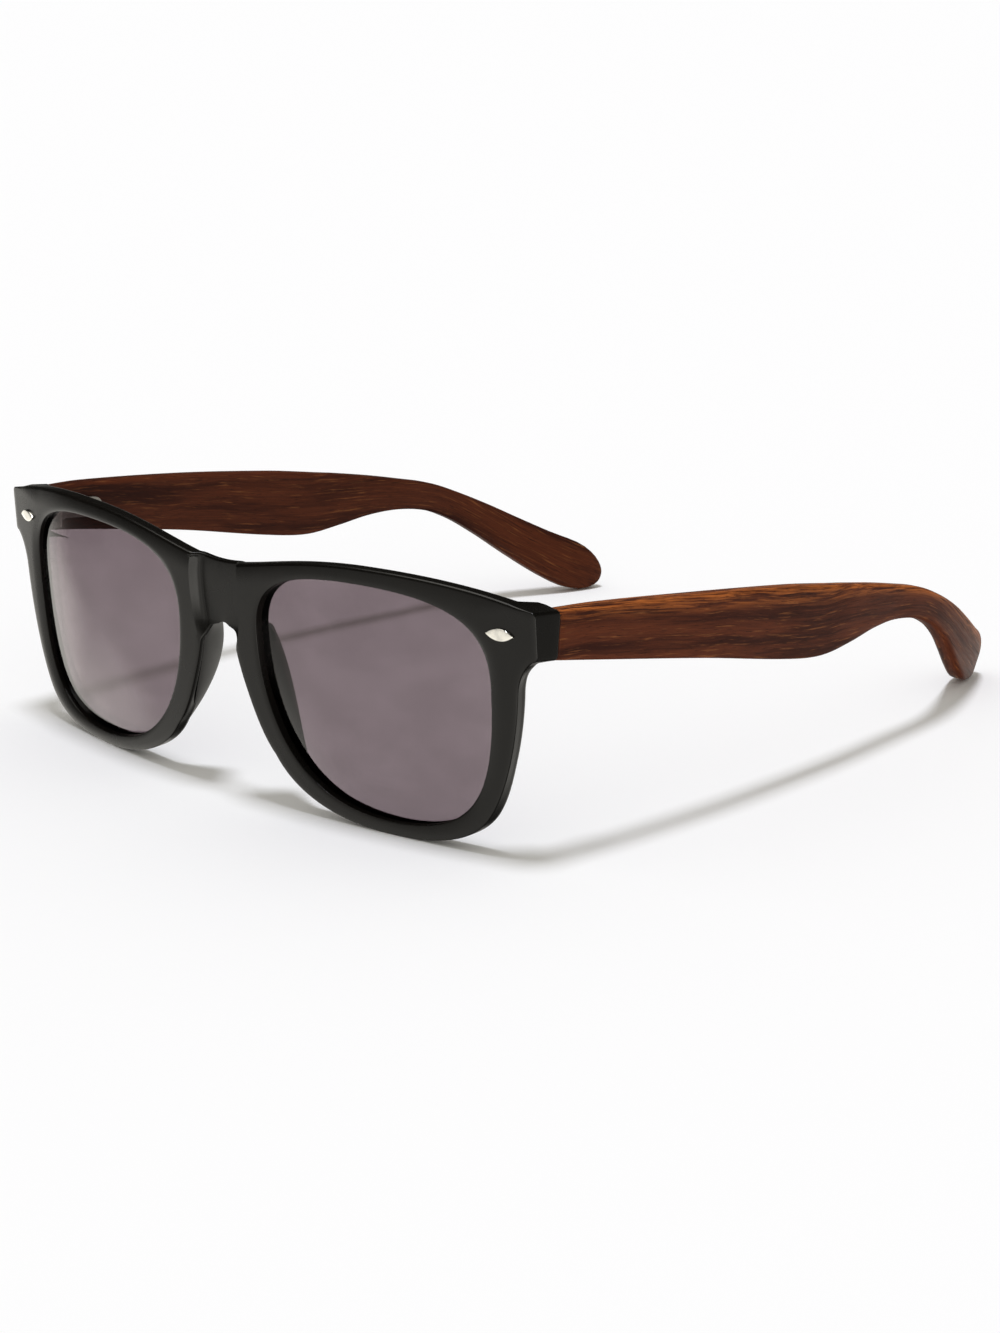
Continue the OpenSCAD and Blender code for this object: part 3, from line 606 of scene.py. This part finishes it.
def make_front(material):
    """The moulded front: both halves share their points on the middle plane."""
    on_plane = 0.001
    places = stations()
    sections = [rim_section(s) for s in places]
    first, last = sections[0][1:]
    rows = len(sections[0][0])
    count = len(places)
    half_points = joined(section for section, _, _ in sections)
    points = half_points + [Vector((-p.x, p.y, p.z)) for p in half_points]
    on_middle = [abs(s.edge.x) < on_plane for s in places]

    def number(half, i, j):
        """Number of the point at station i and row j of a half."""
        shared = on_middle[i] and first <= j <= last
        return (0 if shared else half * count * rows) + i * rows + j

    faces = []
    for half in (0, 1):
        for i in range(count):
            after = (i + 1) % count
            for j in range(rows):
                if on_middle[i] and on_middle[after] and first <= j < last:
                    continue
                below = (j + 1) % rows
                quad = [number(half, *c) for c in ((i, j), (after, j), (after, below), (i, below))]
                faces.append(quad if half == 0 else quad[::-1])
    return make_piece("front", points, faces, material, "front", "front_frame")


def make_lens(side, word, material):
    """A lens: an even edge in its groove and crowned faces inside the opening."""
    turns = 144
    # Where the rings of a face lie between the middle and the opening
    shares = [0.04, 0.14, 0.28, 0.42, 0.56, 0.7, 0.82, 0.91, 0.97, 1]
    middle = Vector((LENS_X, 0))
    opening = [lens_point(4 * k / turns) for k in range(turns)]
    flats = [([middle.lerp(p, s) for p in opening], LENS_CROWN * (1 - s * s)) for s in shares]
    edge = GROOVE_D - LENS_CLEAR
    flats.append(([lens_point(4 * k / turns, edge) for k in range(turns)], 0.0))
    rings = []
    for order, back in ((flats, 0.0), (flats[::-1], LENS_T)):
        for ring, bulge in order:
            rings.append([(p.x, face(p.x) + seat_depth(p.x) + back - bulge, p.y) for p in ring])
    name = "lens_shell_" + word
    return make_piece(name, joined(rings), skin(rings), material, "front", "lens_" + word, side)


# Ridge of a nose pad, from under the bridge to its foot, and its rise as shares of the pad's depth
PAD_RIDGE = [nose_pt(*p) for p in ((0.943, 0.4), (0.854, 0.17), (0.884, -0.128), (0.54, -0.766))]
PAD_RISE = (0.4, 1, 1.28, -0.1)
# Where a pad starts on the outline, in rows from the nasal one, and how many rows it runs
PAD_START = -0.62
PAD_RUN = 1.72
# Where its inner edge lies on the lens outline: at the start, and what the way and its square add
PAD_SEAT = (1.96, 0.25, 0.48)
# Stretches of the pad's length: it rises and draws out of the rim, sinks into it at the foot, and
# leaves the slope behind the lens
PAD_RISES = (-0.05, 0.12)
PAD_DRAWS_OUT = (0, 0.12)
PAD_SINKS = (0.6, 1)
PAD_OFF_SLOPE = (0.7, 0.9)


def pad_section(t):
    """The section of a nose pad at a share of its length, over its nose side and then its back."""
    across = 14
    line_depth = (0.85, 0.5)
    step_back = 0.2
    tuck = 0.5
    sunk = 0.25
    proud = 0.02
    ease = 1.2
    nose_lean = 1.2
    nose_swell = 1.15
    back_swell = 1.5
    fade = smooth(*PAD_SINKS, t)
    place = NOSE_ROW + PAD_START + PAD_RUN * t
    drawn_in = NOSE_IN * nasal_share(NOSE_ROW, place - NOSE_ROW)
    tucked = tuck * (1 - smooth(*PAD_DRAWS_OUT, t))
    foot = outline_point(place, drawn_in + ease * fade + tucked - proud)
    off_slope = LIP_W * smooth(*PAD_OFF_SLOPE, t)
    seat_turn = PAD_SEAT[0] + PAD_SEAT[1] * t + PAD_SEAT[2] * t * t
    seat = lens_point(seat_turn, PAD_INSET + OPENING_EDGE + off_slope)
    ridge = bezier(PAD_RIDGE, t)
    top = FRONT_T + PAD_D * bezier(PAD_RISE, t) * smooth(*PAD_RISES, t)
    start_depth = max(line_depth[0] + line_depth[1] * t, bridge_depth(foot) + step_back)
    low = start_depth + (FRONT_T - sunk - start_depth) * fade
    ring = []
    for j in range(across):
        u = j / across
        f = foot.lerp(ridge, u ** nose_lean)
        ring.append((f.x, face(f.x) + low + (top - low) * (1 - (1 - u) ** nose_swell), f.y))
    for j in range(across + 1):
        u = j / across
        f = ridge.lerp(seat, 1 - (1 - u) ** back_swell)
        ring.append((f.x, face(f.x) + top - (top - FRONT_T + sunk) * u ** back_swell, f.y))
    return ring


def make_nose_pad(side, word, material):
    """A soft ridge behind the nasal rim. Its nose side runs on from the rim's wall without a step."""
    steps = 44
    sharp = 60.0
    rings = [pad_section(k / steps) for k in range(steps + 1)]
    name = "nose_ridge_" + word
    node = "nose_pad_" + word
    return make_piece(name, joined(rings), skin(rings), material, "front", node, side, sharp)


def make_rivet(side, word, material):
    """A leaf-shaped corner plate with a rounded edge and a slightly domed top."""
    steps = 28
    sharp = 50.0
    # Each ring: share of the outline, share of the plate's height
    profile = [(1, -0.2), (1, 0.62), (0.985, 0.78), (0.95, 0.88), (0.88, 0.93), (0.6, 0.98), (0.3, 1)]
    arc_r = (RIVET_LEN ** 2 + RIVET_W ** 2) / (4 * RIVET_W)
    reach = math.asin(RIVET_LEN / 2 / arc_r)
    outline = []
    for up in (1, -1):
        for k in range(steps):
            a = up * reach * (1 - 2 * k / steps)
            height = arc_r * math.cos(a) - arc_r + RIVET_W / 2
            outline.append(Vector((arc_r * math.sin(a), up * height)))
    x = HALF_W - RIVET_IN
    seat = Matrix.Translation((x, face(x), END_Z - RIVET_DROP))
    seat = seat @ Matrix.Rotation(math.asin(x / FACE_R), 4, "Z")
    seat = seat @ Matrix.Rotation(RIVET_TURN, 4, "Y") @ Matrix.Rotation(math.pi / 2, 4, "X")
    rings = []
    for share, up in profile:
        z = SEAT_GAP + RIVET_T * up
        rings.append([seat @ Vector((p.x * share, p.y * share, z)) for p in outline])
    faces = [f[::-1] for f in skin(rings)]
    name = "corner_plate_" + word
    node = "corner_rivet_" + word
    return make_piece(name, joined(rings), faces, material, "front", node, side, sharp)


# Spine of one temple, from the butt joint: distance back, height, section height, inset
TEMPLE_ROWS = [
    (0, 0, END_H, 0),
    (10, 0, END_H + 0.24 * (TEMPLE_H - END_H), -0.9),
    (36, -0.9, END_H + 0.64 * (TEMPLE_H - END_H), -1.8),
    (58, -2.3, TEMPLE_H, -1.1),
    (68, -2.8, TEMPLE_H - 0.2, -0.5),
    (76, -2.3, NECK_H + 0.7 * (TEMPLE_H - NECK_H), 0.1),
    (84, -1.7, NECK_H + 0.34 * (TEMPLE_H - NECK_H), 1),
    (92, -1.7, NECK_H + 0.08 * (TEMPLE_H - NECK_H), TIP_INSET * 0.11),
    (100, -EAR_DROP * 0.125, NECK_H, TIP_INSET * 0.155),
    (107, -EAR_DROP * 0.23, NECK_H + 0.02 * (TIP_H - NECK_H), TIP_INSET * 0.215),
    (114, -EAR_DROP * 0.385, NECK_H + 0.23 * (TIP_H - NECK_H), TIP_INSET * 0.33),
    (121, -EAR_DROP * 0.57, NECK_H + 0.52 * (TIP_H - NECK_H), TIP_INSET * 0.49),
    (128, -EAR_DROP * 0.75, NECK_H + 0.79 * (TIP_H - NECK_H), TIP_INSET * 0.675),
    (135, -EAR_DROP * 0.9, TIP_H, TIP_INSET * 0.87),
    (TEMPLE_LEN, -EAR_DROP, TIP_H, TIP_INSET),
]
TEMPLE_ROWS = [Vector(row) for row in TEMPLE_ROWS]
TEMPLE_BODY = TEMPLE_LEN - TIP_ROUND


def spine(s):
    """Smooth curve through the rows of the spine, at distance back s."""
    k = max(j for j in range(len(TEMPLE_ROWS) - 1) if TEMPLE_ROWS[j][0] <= s)
    p1 = TEMPLE_ROWS[k]
    p2 = TEMPLE_ROWS[k + 1]
    p0 = TEMPLE_ROWS[k - 1] if k > 0 else 2 * p1 - p2
    p3 = TEMPLE_ROWS[k + 2] if k + 2 < len(TEMPLE_ROWS) else 2 * p2 - p1
    width = p2[0] - p1[0]
    t = (s - p1[0]) / width
    m1 = (p2 - p0) / (p2[0] - p0[0]) * width
    m2 = (p3 - p1) / (p3[0] - p1[0]) * width
    c = smooth(0, 1, t)
    return p1 * (1 - c) + p2 * c + m1 * t * (1 - t) ** 2 - m2 * t * t * (1 - t)


def temple_section(s):
    """One rounded section of the temple. Also gives each point's place in the straight piece of wood
    that it was cut from, and how far up the section it lies."""
    near = 0.2
    straight = 1
    most_round = 0.6
    p = spine(s)
    d = spine(min(TEMPLE_LEN, s + near)) - spine(max(0, s - near))
    way = Vector((0, 1, 0)) if s < straight else Vector((-d[3], d[0], d[1])).normalized()
    up = Vector((0, -way.z, way.y)).normalized()
    across = way.cross(up)
    share = 1.0 if s <= TEMPLE_BODY else math.sqrt(1 - ((s - TEMPLE_BODY) / TIP_ROUND) ** 2)
    chamfer = TEMPLE_CHAMFER * max(0.0, 1 - s / TEMPLE_CHAMFER)
    h = p[2] / 2 * share - chamfer
    t = TEMPLE_T / 2 * math.sqrt(share) - chamfer
    r = min(TEMPLE_EDGE, h * most_round, t * most_round)
    middle = Vector((-p[3], p[0], p[1]))
    ring = []
    grain = []
    for q in (3, 2, 1, 0):
        to_side = 1 if q in (0, 3) else -1
        to_top = 1 if q < 2 else -1
        for a in reversed(quarter(5)):
            turn = a + q * math.pi / 2
            x = to_side * (t - r) + r * math.cos(turn)
            z = to_top * (h - r) + r * math.sin(turn)
            ring.append(middle + across * x + up * z)
            grain.append((p[0], x, z, z / h))
    return ring, grain


def from_temple(p):
    """From the temple's own frame, turned down at the butt joint, to the drawn frame."""
    turned = Matrix.Rotation(-TEMPLE_DROP, 3, "X") @ Vector((p.x, p.y + BUTT_GAP, p.z))
    return turned + Vector((TEMPLE_X, BUTT_Y, BUTT_Z))


def make_temple(side, word, material):
    """A wooden temple. Its attribute grain holds each point's place in the unbent wood, in
    millimetres, and upper how far up its section the point lies, from -1 to 1."""
    step = 1.4
    sharp = 45.0
    tip_angles = (12, 24, 36, 46, 55, 63, 70, 76, 81, 85, 88)
    other_board = 300.0
    count = math.ceil(TEMPLE_BODY / step)
    places = [0, TEMPLE_CHAMFER / 3, TEMPLE_CHAMFER]
    places += [TEMPLE_BODY * k / count for k in range(1, count + 1)]
    places += [TEMPLE_BODY + TIP_ROUND * math.sin(math.radians(a)) for a in tip_angles]
    sections = [temple_section(s) for s in places]
    rings = [[from_temple(p) for p in ring] for ring, _ in sections]
    name = "temple_wood_" + word
    body = word + "_temple"
    node = "temple_" + word
    temple = make_piece(name, joined(rings), skin(rings), material, body, node, side, sharp)
    in_wood = joined(grain for _, grain in sections)
    shift = other_board if side < 0 else 0.0
    grain = temple.data.attributes.new("grain", "FLOAT_VECTOR", "POINT")
    grain.data.foreach_set("vector", [v + shift for g in in_wood for v in g[:3]])
    upper = temple.data.attributes.new("upper", "FLOAT", "POINT")
    upper.data.foreach_set("value", [g[3] for g in in_wood])
    return temple


def finish_node(name, material):
    """Gives a node that is shown as it was packed its material."""
    solid = frame["nodes"][name]
    solid.data.materials.clear()
    solid.data.materials.append(material)


# Materials

def new_material(name):
    """A new material, with its node tree and its Principled shader."""
    material = bpy.data.materials.new(name)
    material.use_nodes = True
    tree = material.node_tree
    shader = next(n for n in tree.nodes if n.type == "BSDF_PRINCIPLED")
    return material, tree, shader


def add(tree, kind, inputs=None, **settings):
    """Adds a shader node. Inputs are values, or sockets to link from."""
    made = tree.nodes.new("ShaderNode" + kind)
    for name, value in settings.items():
        setattr(made, name, value)
    for name, value in (inputs or {}).items():
        if isinstance(value, bpy.types.NodeSocket):
            tree.links.new(value, made.inputs[name])
        else:
            made.inputs[name].default_value = value
    return made


def maths(tree, operation, a, b):
    """A sum, product or other result of two numbers."""
    return add(tree, "Math", {0: a, 1: b}, operation=operation).outputs[0]


def vector_maths(tree, operation, a, b):
    """A sum or product of two vectors."""
    return add(tree, "VectorMath", {0: a, 1: b}, operation=operation).outputs[0]


def noise(tree, place, stretch, detail=4.0, roughness=0.55):
    """Noise over a place that is first stretched."""
    made = add(tree, "TexNoise", {
        "Vector": vector_maths(tree, "MULTIPLY", place, stretch),
        "Scale": 1.0, "Detail": detail, "Roughness": roughness,
    })
    return made.outputs[0]


def spread(tree, value, low, high, to_low=0.0, to_high=1.0):
    """Maps a value from one range to another, smoothly and clamped."""
    made = add(tree, "MapRange", {
        "Value": value, "From Min": low, "From Max": high, "To Min": to_low, "To Max": to_high,
    }, interpolation_type="SMOOTHSTEP")
    return made.outputs[0]


def mix_colour(tree, factor, a, b):
    """Mixes two colours."""
    return add(tree, "Mix", {0: factor, 6: a, 7: b}, data_type="RGBA").outputs[2]


def bump(tree, height, strength, distance):
    """A normal that follows a height."""
    made = add(tree, "Bump", {"Height": height, "Strength": strength, "Distance": distance})
    return made.outputs[0]


def object_place(tree):
    """The point's place on the object, in millimetres."""
    place = add(tree, "TexCoord").outputs["Object"]
    return vector_maths(tree, "MULTIPLY", place, (1 / MM,) * 3)


def toned(colour, tone):
    """A colour made darker or paler."""
    return tuple(c * tone for c in colour[:3]) + (1.0,)


def plastic_material(name, colour, low_gloss, high_gloss, shine):
    """Satin moulded plastic: fine moulded grain, a slightly uneven sheen and faint rubbed patches."""
    rubbed_tone = 1.35
    material, tree, shader = new_material(name)
    place = object_place(tree)
    patches = noise(tree, place, (0.09, 0.09, 0.09), 3.0)
    grain = noise(tree, place, (5.0, 5.0, 5.0), 3.0)
    rubbed = spread(tree, patches, 0.35, 0.7)
    colour = mix_colour(tree, rubbed, colour, toned(colour, rubbed_tone))
    tree.links.new(colour, shader.inputs["Base Color"])
    tree.links.new(spread(tree, patches, 0.3, 0.7, high_gloss, low_gloss), shader.inputs["Roughness"])
    shader.inputs["Specular IOR Level"].default_value = shine
    tree.links.new(bump(tree, grain, 0.05, 0.00003), shader.inputs["Normal"])
    return material


def wood_material(name, tone, painted_top_light_share):
    """Dark red-brown wood, oiled, with lengthwise streaks, pores and tan flecks that follow the bend.
    The tone paints shade by making a board darker or paler. A paler upper edge is a painted highlight
    from the lamp overhead."""
    dark = toned((0.045, 0.011, 0.006), tone)
    brown = toned((0.135, 0.033, 0.012), tone)
    tan = toned((0.34, 0.12, 0.036), tone)
    # Painted highlight: pale orange for the lamp-lit top edge of a temple
    painted_top_light = (0.44, 0.125, 0.026, 1.0)
    pore_brown = (0.012, 0.005, 0.004, 1.0)
    material, tree, shader = new_material(name)
    straight = add(tree, "Attribute", attribute_name="grain").outputs["Vector"]
    wave = add(tree, "TexNoise", {"Vector": straight, "Scale": 0.045, "Detail": 2.0}).outputs["Color"]
    wave = vector_maths(tree, "MULTIPLY", wave, (0.0, 1.6, 2.4))
    place = vector_maths(tree, "ADD", straight, wave)
    bands = noise(tree, place, (0.022, 0.3, 0.34), 3.0, 0.6)
    streaks = noise(tree, place, (0.07, 1.5, 2.0), 5.0, 0.68)
    threads = noise(tree, place, (0.12, 4.0, 5.5), 3.0, 0.6)
    pores = noise(tree, place, (0.4, 5.0, 7.0), 2.0, 0.5)
    flecks = noise(tree, place, (0.13, 1.1, 2.3), 3.0, 0.62)
    colour = mix_colour(tree, spread(tree, bands, 0.34, 0.62), dark, brown)
    colour = mix_colour(tree, spread(tree, streaks, 0.5, 0.72, 0.0, 0.75), colour, brown)
    colour = mix_colour(tree, spread(tree, streaks, 0.46, 0.28, 0.0, 0.8), colour, dark)
    colour = mix_colour(tree, spread(tree, flecks, 0.56, 0.74, 0.0, 0.7), colour, tan)
    # Painted highlight along the upper edge of the section, broken by the streaks, where the lamp
    # overhead lights the top
    upper = add(tree, "Attribute", attribute_name="upper").outputs["Fac"]
    edge = spread(tree, upper, 0.35, 0.9, 0.0, painted_top_light_share)
    edge = maths(tree, "MULTIPLY", edge, spread(tree, streaks, 0.4, 0.6))
    colour = mix_colour(tree, edge, colour, painted_top_light)
    colour = mix_colour(tree, spread(tree, threads, 0.4, 0.62, 0.35, 0.0), colour, dark)
    colour = mix_colour(tree, spread(tree, pores, 0.62, 0.72, 0.0, 0.7), colour, pore_brown)
    tree.links.new(colour, shader.inputs["Base Color"])
    tree.links.new(spread(tree, streaks, 0.3, 0.7, 0.52, 0.38), shader.inputs["Roughness"])
    shader.inputs["Specular IOR Level"].default_value = 0.1
    height = maths(tree, "SUBTRACT", threads, pores)
    tree.links.new(bump(tree, height, 0.3, 0.00006), shader.inputs["Normal"])
    return material


def lens_material():
    """Grey tinted lens: see-through, mirroring more at a slant, with faint haze from wiping."""
    deep_tint = (0.435, 0.381, 0.399, 1.0)
    light_tint = (0.46, 0.405, 0.424, 1.0)
    least_mirrored = 0.025
    slant_power = 5.0
    material, tree, shader = new_material("tinted_lens")
    place = object_place(tree)
    haze = noise(tree, place, (0.07, 0.07, 0.12), 4.0)
    tint = mix_colour(tree, spread(tree, haze, 0.35, 0.65), deep_tint, light_tint)
    clear = add(tree, "BsdfTransparent", {"Color": tint})
    wiped = spread(tree, haze, 0.3, 0.7, 0.02, 0.07)
    gloss = add(tree, "BsdfGlossy", {"Color": (1.0, 1.0, 1.0, 1.0), "Roughness": wiped})
    slant = add(tree, "LayerWeight", {"Blend": 0.5}).outputs["Facing"]
    steep = maths(tree, "POWER", slant, slant_power)
    mirrored = add(tree, "MapRange", {"Value": steep, "To Min": least_mirrored, "To Max": 1.0})
    both = add(tree, "MixShader", {0: mirrored.outputs[0], 1: clear.outputs[0], 2: gloss.outputs[0]})
    output = next(n for n in tree.nodes if n.type == "OUTPUT_MATERIAL")
    tree.links.new(both.outputs[0], output.inputs["Surface"])
    tree.nodes.remove(shader)
    return material


def metal_material(name, colour, low_gloss, high_gloss, stretch):
    """Metal with fine tumbling or turning marks and a little tarnish."""
    dull_tone = 0.78
    material, tree, shader = new_material(name)
    place = object_place(tree)
    marks = noise(tree, place, stretch, 3.0)
    tarnish = noise(tree, place, (0.5, 0.5, 0.5), 3.0)
    tarnished = spread(tree, tarnish, 0.45, 0.75)
    colour = mix_colour(tree, tarnished, colour, toned(colour, dull_tone))
    tree.links.new(colour, shader.inputs["Base Color"])
    shader.inputs["Metallic"].default_value = 1.0
    tree.links.new(spread(tree, marks, 0.3, 0.7, low_gloss, high_gloss), shader.inputs["Roughness"])
    tree.links.new(bump(tree, marks, 0.08, 0.00002), shader.inputs["Normal"])
    return material


# Floor, light and camera

def make_floor():
    """A wide white floor."""
    reach = 4.0
    corners = [(-reach, -reach, 0), (reach, -reach, 0), (reach, reach, 0), (-reach, reach, 0)]
    mesh = bpy.data.meshes.new("floor")
    mesh.from_pydata(corners, [], [(0, 1, 2, 3)])
    material, _, shader = new_material("floor_white")
    shader.inputs["Base Color"].default_value = (0.985, 0.985, 0.98, 1.0)
    shader.inputs["Roughness"].default_value = 0.9
    shader.inputs["Specular IOR Level"].default_value = 0.0
    mesh.materials.append(material)
    floor = bpy.data.objects.new("floor", mesh)
    bpy.context.scene.collection.objects.link(floor)
    floor.visible_glossy = False


# Soft panels and a black card round the object, seen in its gloss: where each stands, at which cosine
# from there it starts to fade in and is full, and its strength
PANELS = [
    ((0.82, -0.51, -0.27), 0.955, 0.985, 3.1),
    ((0.5, -0.8, -0.3), 0.7, 1.0, 1.1),
    ((-0.79, -0.3, -0.53), 0.955, 1.0, 1.2),
    ((-0.85, -0.4, 0.3), 0.8, 0.97, -0.7),
    ((-0.91, 0.24, -0.34), 0.85, 1.0, 1.4),
    ((0.05, 0.96, -0.27), 0.85, 0.98, 0.6),
    ((-0.5, 0.82, -0.28), 0.88, 0.98, 0.6),
    ((0.75, 0.6, -0.28), 0.5, 0.95, 0.33),
    ((-0.33, -0.1, 0.93), 0.9, 0.98, 3.5),
]


def make_world(ambient):
    """A white studio. It lights at the ambient strength and shows as white to sight and through glass.
    What is glossy mirrors a pale table on the near side, a dark room above it, and the panels."""
    dim = 0.015
    table = 1.39
    down = (0.0, 0.0, -1.0)
    table_way = (-0.45, -0.89, 0.0)
    air = (1.0, 0.975, 0.91)
    gloss_colour = (1.0, 0.97, 0.9)
    white = (1.0, 1.0, 1.0, 1.0)
    world = bpy.data.worlds.new("white_studio")
    world.use_nodes = True
    tree = world.node_tree
    background = next(n for n in tree.nodes if n.type == "BACKGROUND")
    way = add(tree, "TexCoord").outputs["Generated"]

    def towards(axis):
        """Cosine of the angle between the way looked and an axis."""
        return add(tree, "VectorMath", {0: way, 1: axis}, operation="DOT_PRODUCT").outputs["Value"]

    below = spread(tree, towards(down), -0.8, 1.0, 0.0, table)
    in_front = spread(tree, towards(table_way), 0.2, 1.0, 0.02, 1.0)
    mirrored = maths(tree, "MULTIPLY", below, in_front)
    for axis, start, full, strength in PANELS:
        panel = spread(tree, towards(axis), start, full, 0.0, strength)
        mirrored = maths(tree, "ADD", mirrored, panel)
    mirrored = maths(tree, "MAXIMUM", mirrored, dim)
    gloss = add(tree, "VectorMath", {0: gloss_colour, "Scale": mirrored}, operation="SCALE").outputs[0]
    rays = add(tree, "LightPath").outputs
    seen = maths(tree, "MAXIMUM", rays["Is Camera Ray"], rays["Is Transmission Ray"])
    colour = mix_colour(tree, seen, toned(air, ambient), white)
    colour = mix_colour(tree, rays["Is Glossy Ray"], colour, gloss)
    tree.links.new(colour, background.inputs["Color"])
    bpy.context.scene.world = world


def make_lamp():
    """One soft lamp straight overhead, as the photograph's shadows show."""
    lamp = bpy.data.lights.new("overhead_lamp", "SUN")
    lamp.energy = 1.6
    lamp.angle = math.radians(13)
    lamp.color = (0.99, 1.01, 1.09)
    holder = bpy.data.objects.new("overhead_lamp", lamp)
    bpy.context.scene.collection.objects.link(holder)


def make_camera():
    """The camera at the photograph's viewing angle. The photograph is 1333 pixels high."""
    focal_pixels = 3291.0
    picture_height = 1333.0
    sensor = 36.0
    place = Vector((0.44637, -0.43278, 0.18471))
    forward = Vector((-0.6948, 0.6649, -0.2742))
    roll = math.radians(-1.25)
    data = bpy.data.cameras.new("camera")
    data.sensor_fit = "VERTICAL"
    data.sensor_height = sensor
    data.lens = focal_pixels / picture_height * sensor
    data.clip_start = 0.01
    camera = bpy.data.objects.new("camera", data)
    turn = forward.to_track_quat("-Z", "Y").to_matrix().to_4x4() @ Matrix.Rotation(roll, 4, "Z")
    camera.matrix_world = Matrix.Translation(place) @ turn
    bpy.context.scene.collection.objects.link(camera)
    bpy.context.scene.camera = camera


# The object and its studio

black_plastic = plastic_material("satin_black", (0.004, 0.0034, 0.0026, 1.0), 0.22, 0.29, 0.27)
pad_plastic = plastic_material("satin_black_pad", (0.006, 0.005, 0.004, 1.0), 0.3, 0.38, 0.27)
# Two copies of one wood: the right one darker as painted shade, the left one with a painted highlight
# along its top
wood = {
    "left": wood_material("oiled_wood_left_painted_highlight", 1.04, 1.0),
    "right": wood_material("oiled_wood_right_painted_shade", 0.78, 0.0),
}
tinted = lens_material()
pale_metal = metal_material("polished_pale_metal", (0.92, 0.9, 0.84, 1.0), 0.1, 0.2, (3.0, 3.0, 3.0))
hinge_metal = metal_material("nickel_silver", (0.62, 0.6, 0.56, 1.0), 0.24, 0.4, (9.0, 9.0, 2.5))
screw_metal = metal_material("turned_steel", (0.68, 0.67, 0.65, 1.0), 0.18, 0.32, (2.0, 2.0, 14.0))

make_front(black_plastic)
for side, word in ((1, "left"), (-1, "right")):
    make_lens(side, word, tinted)
    make_nose_pad(side, word, pad_plastic)
    make_rivet(side, word, pale_metal)
    make_temple(side, word, wood[word])
    finish_node("hinge_front_leaf_" + word, hinge_metal)
    finish_node("hinge_temple_leaf_" + word, hinge_metal)
    finish_node("hinge_screw_" + word, screw_metal)
    finish_node("temple_leaf_screws_" + word, screw_metal)

make_floor()
make_world(0.5)
make_lamp()
make_camera()
bpy.context.scene.view_settings.view_transform = "Standard"
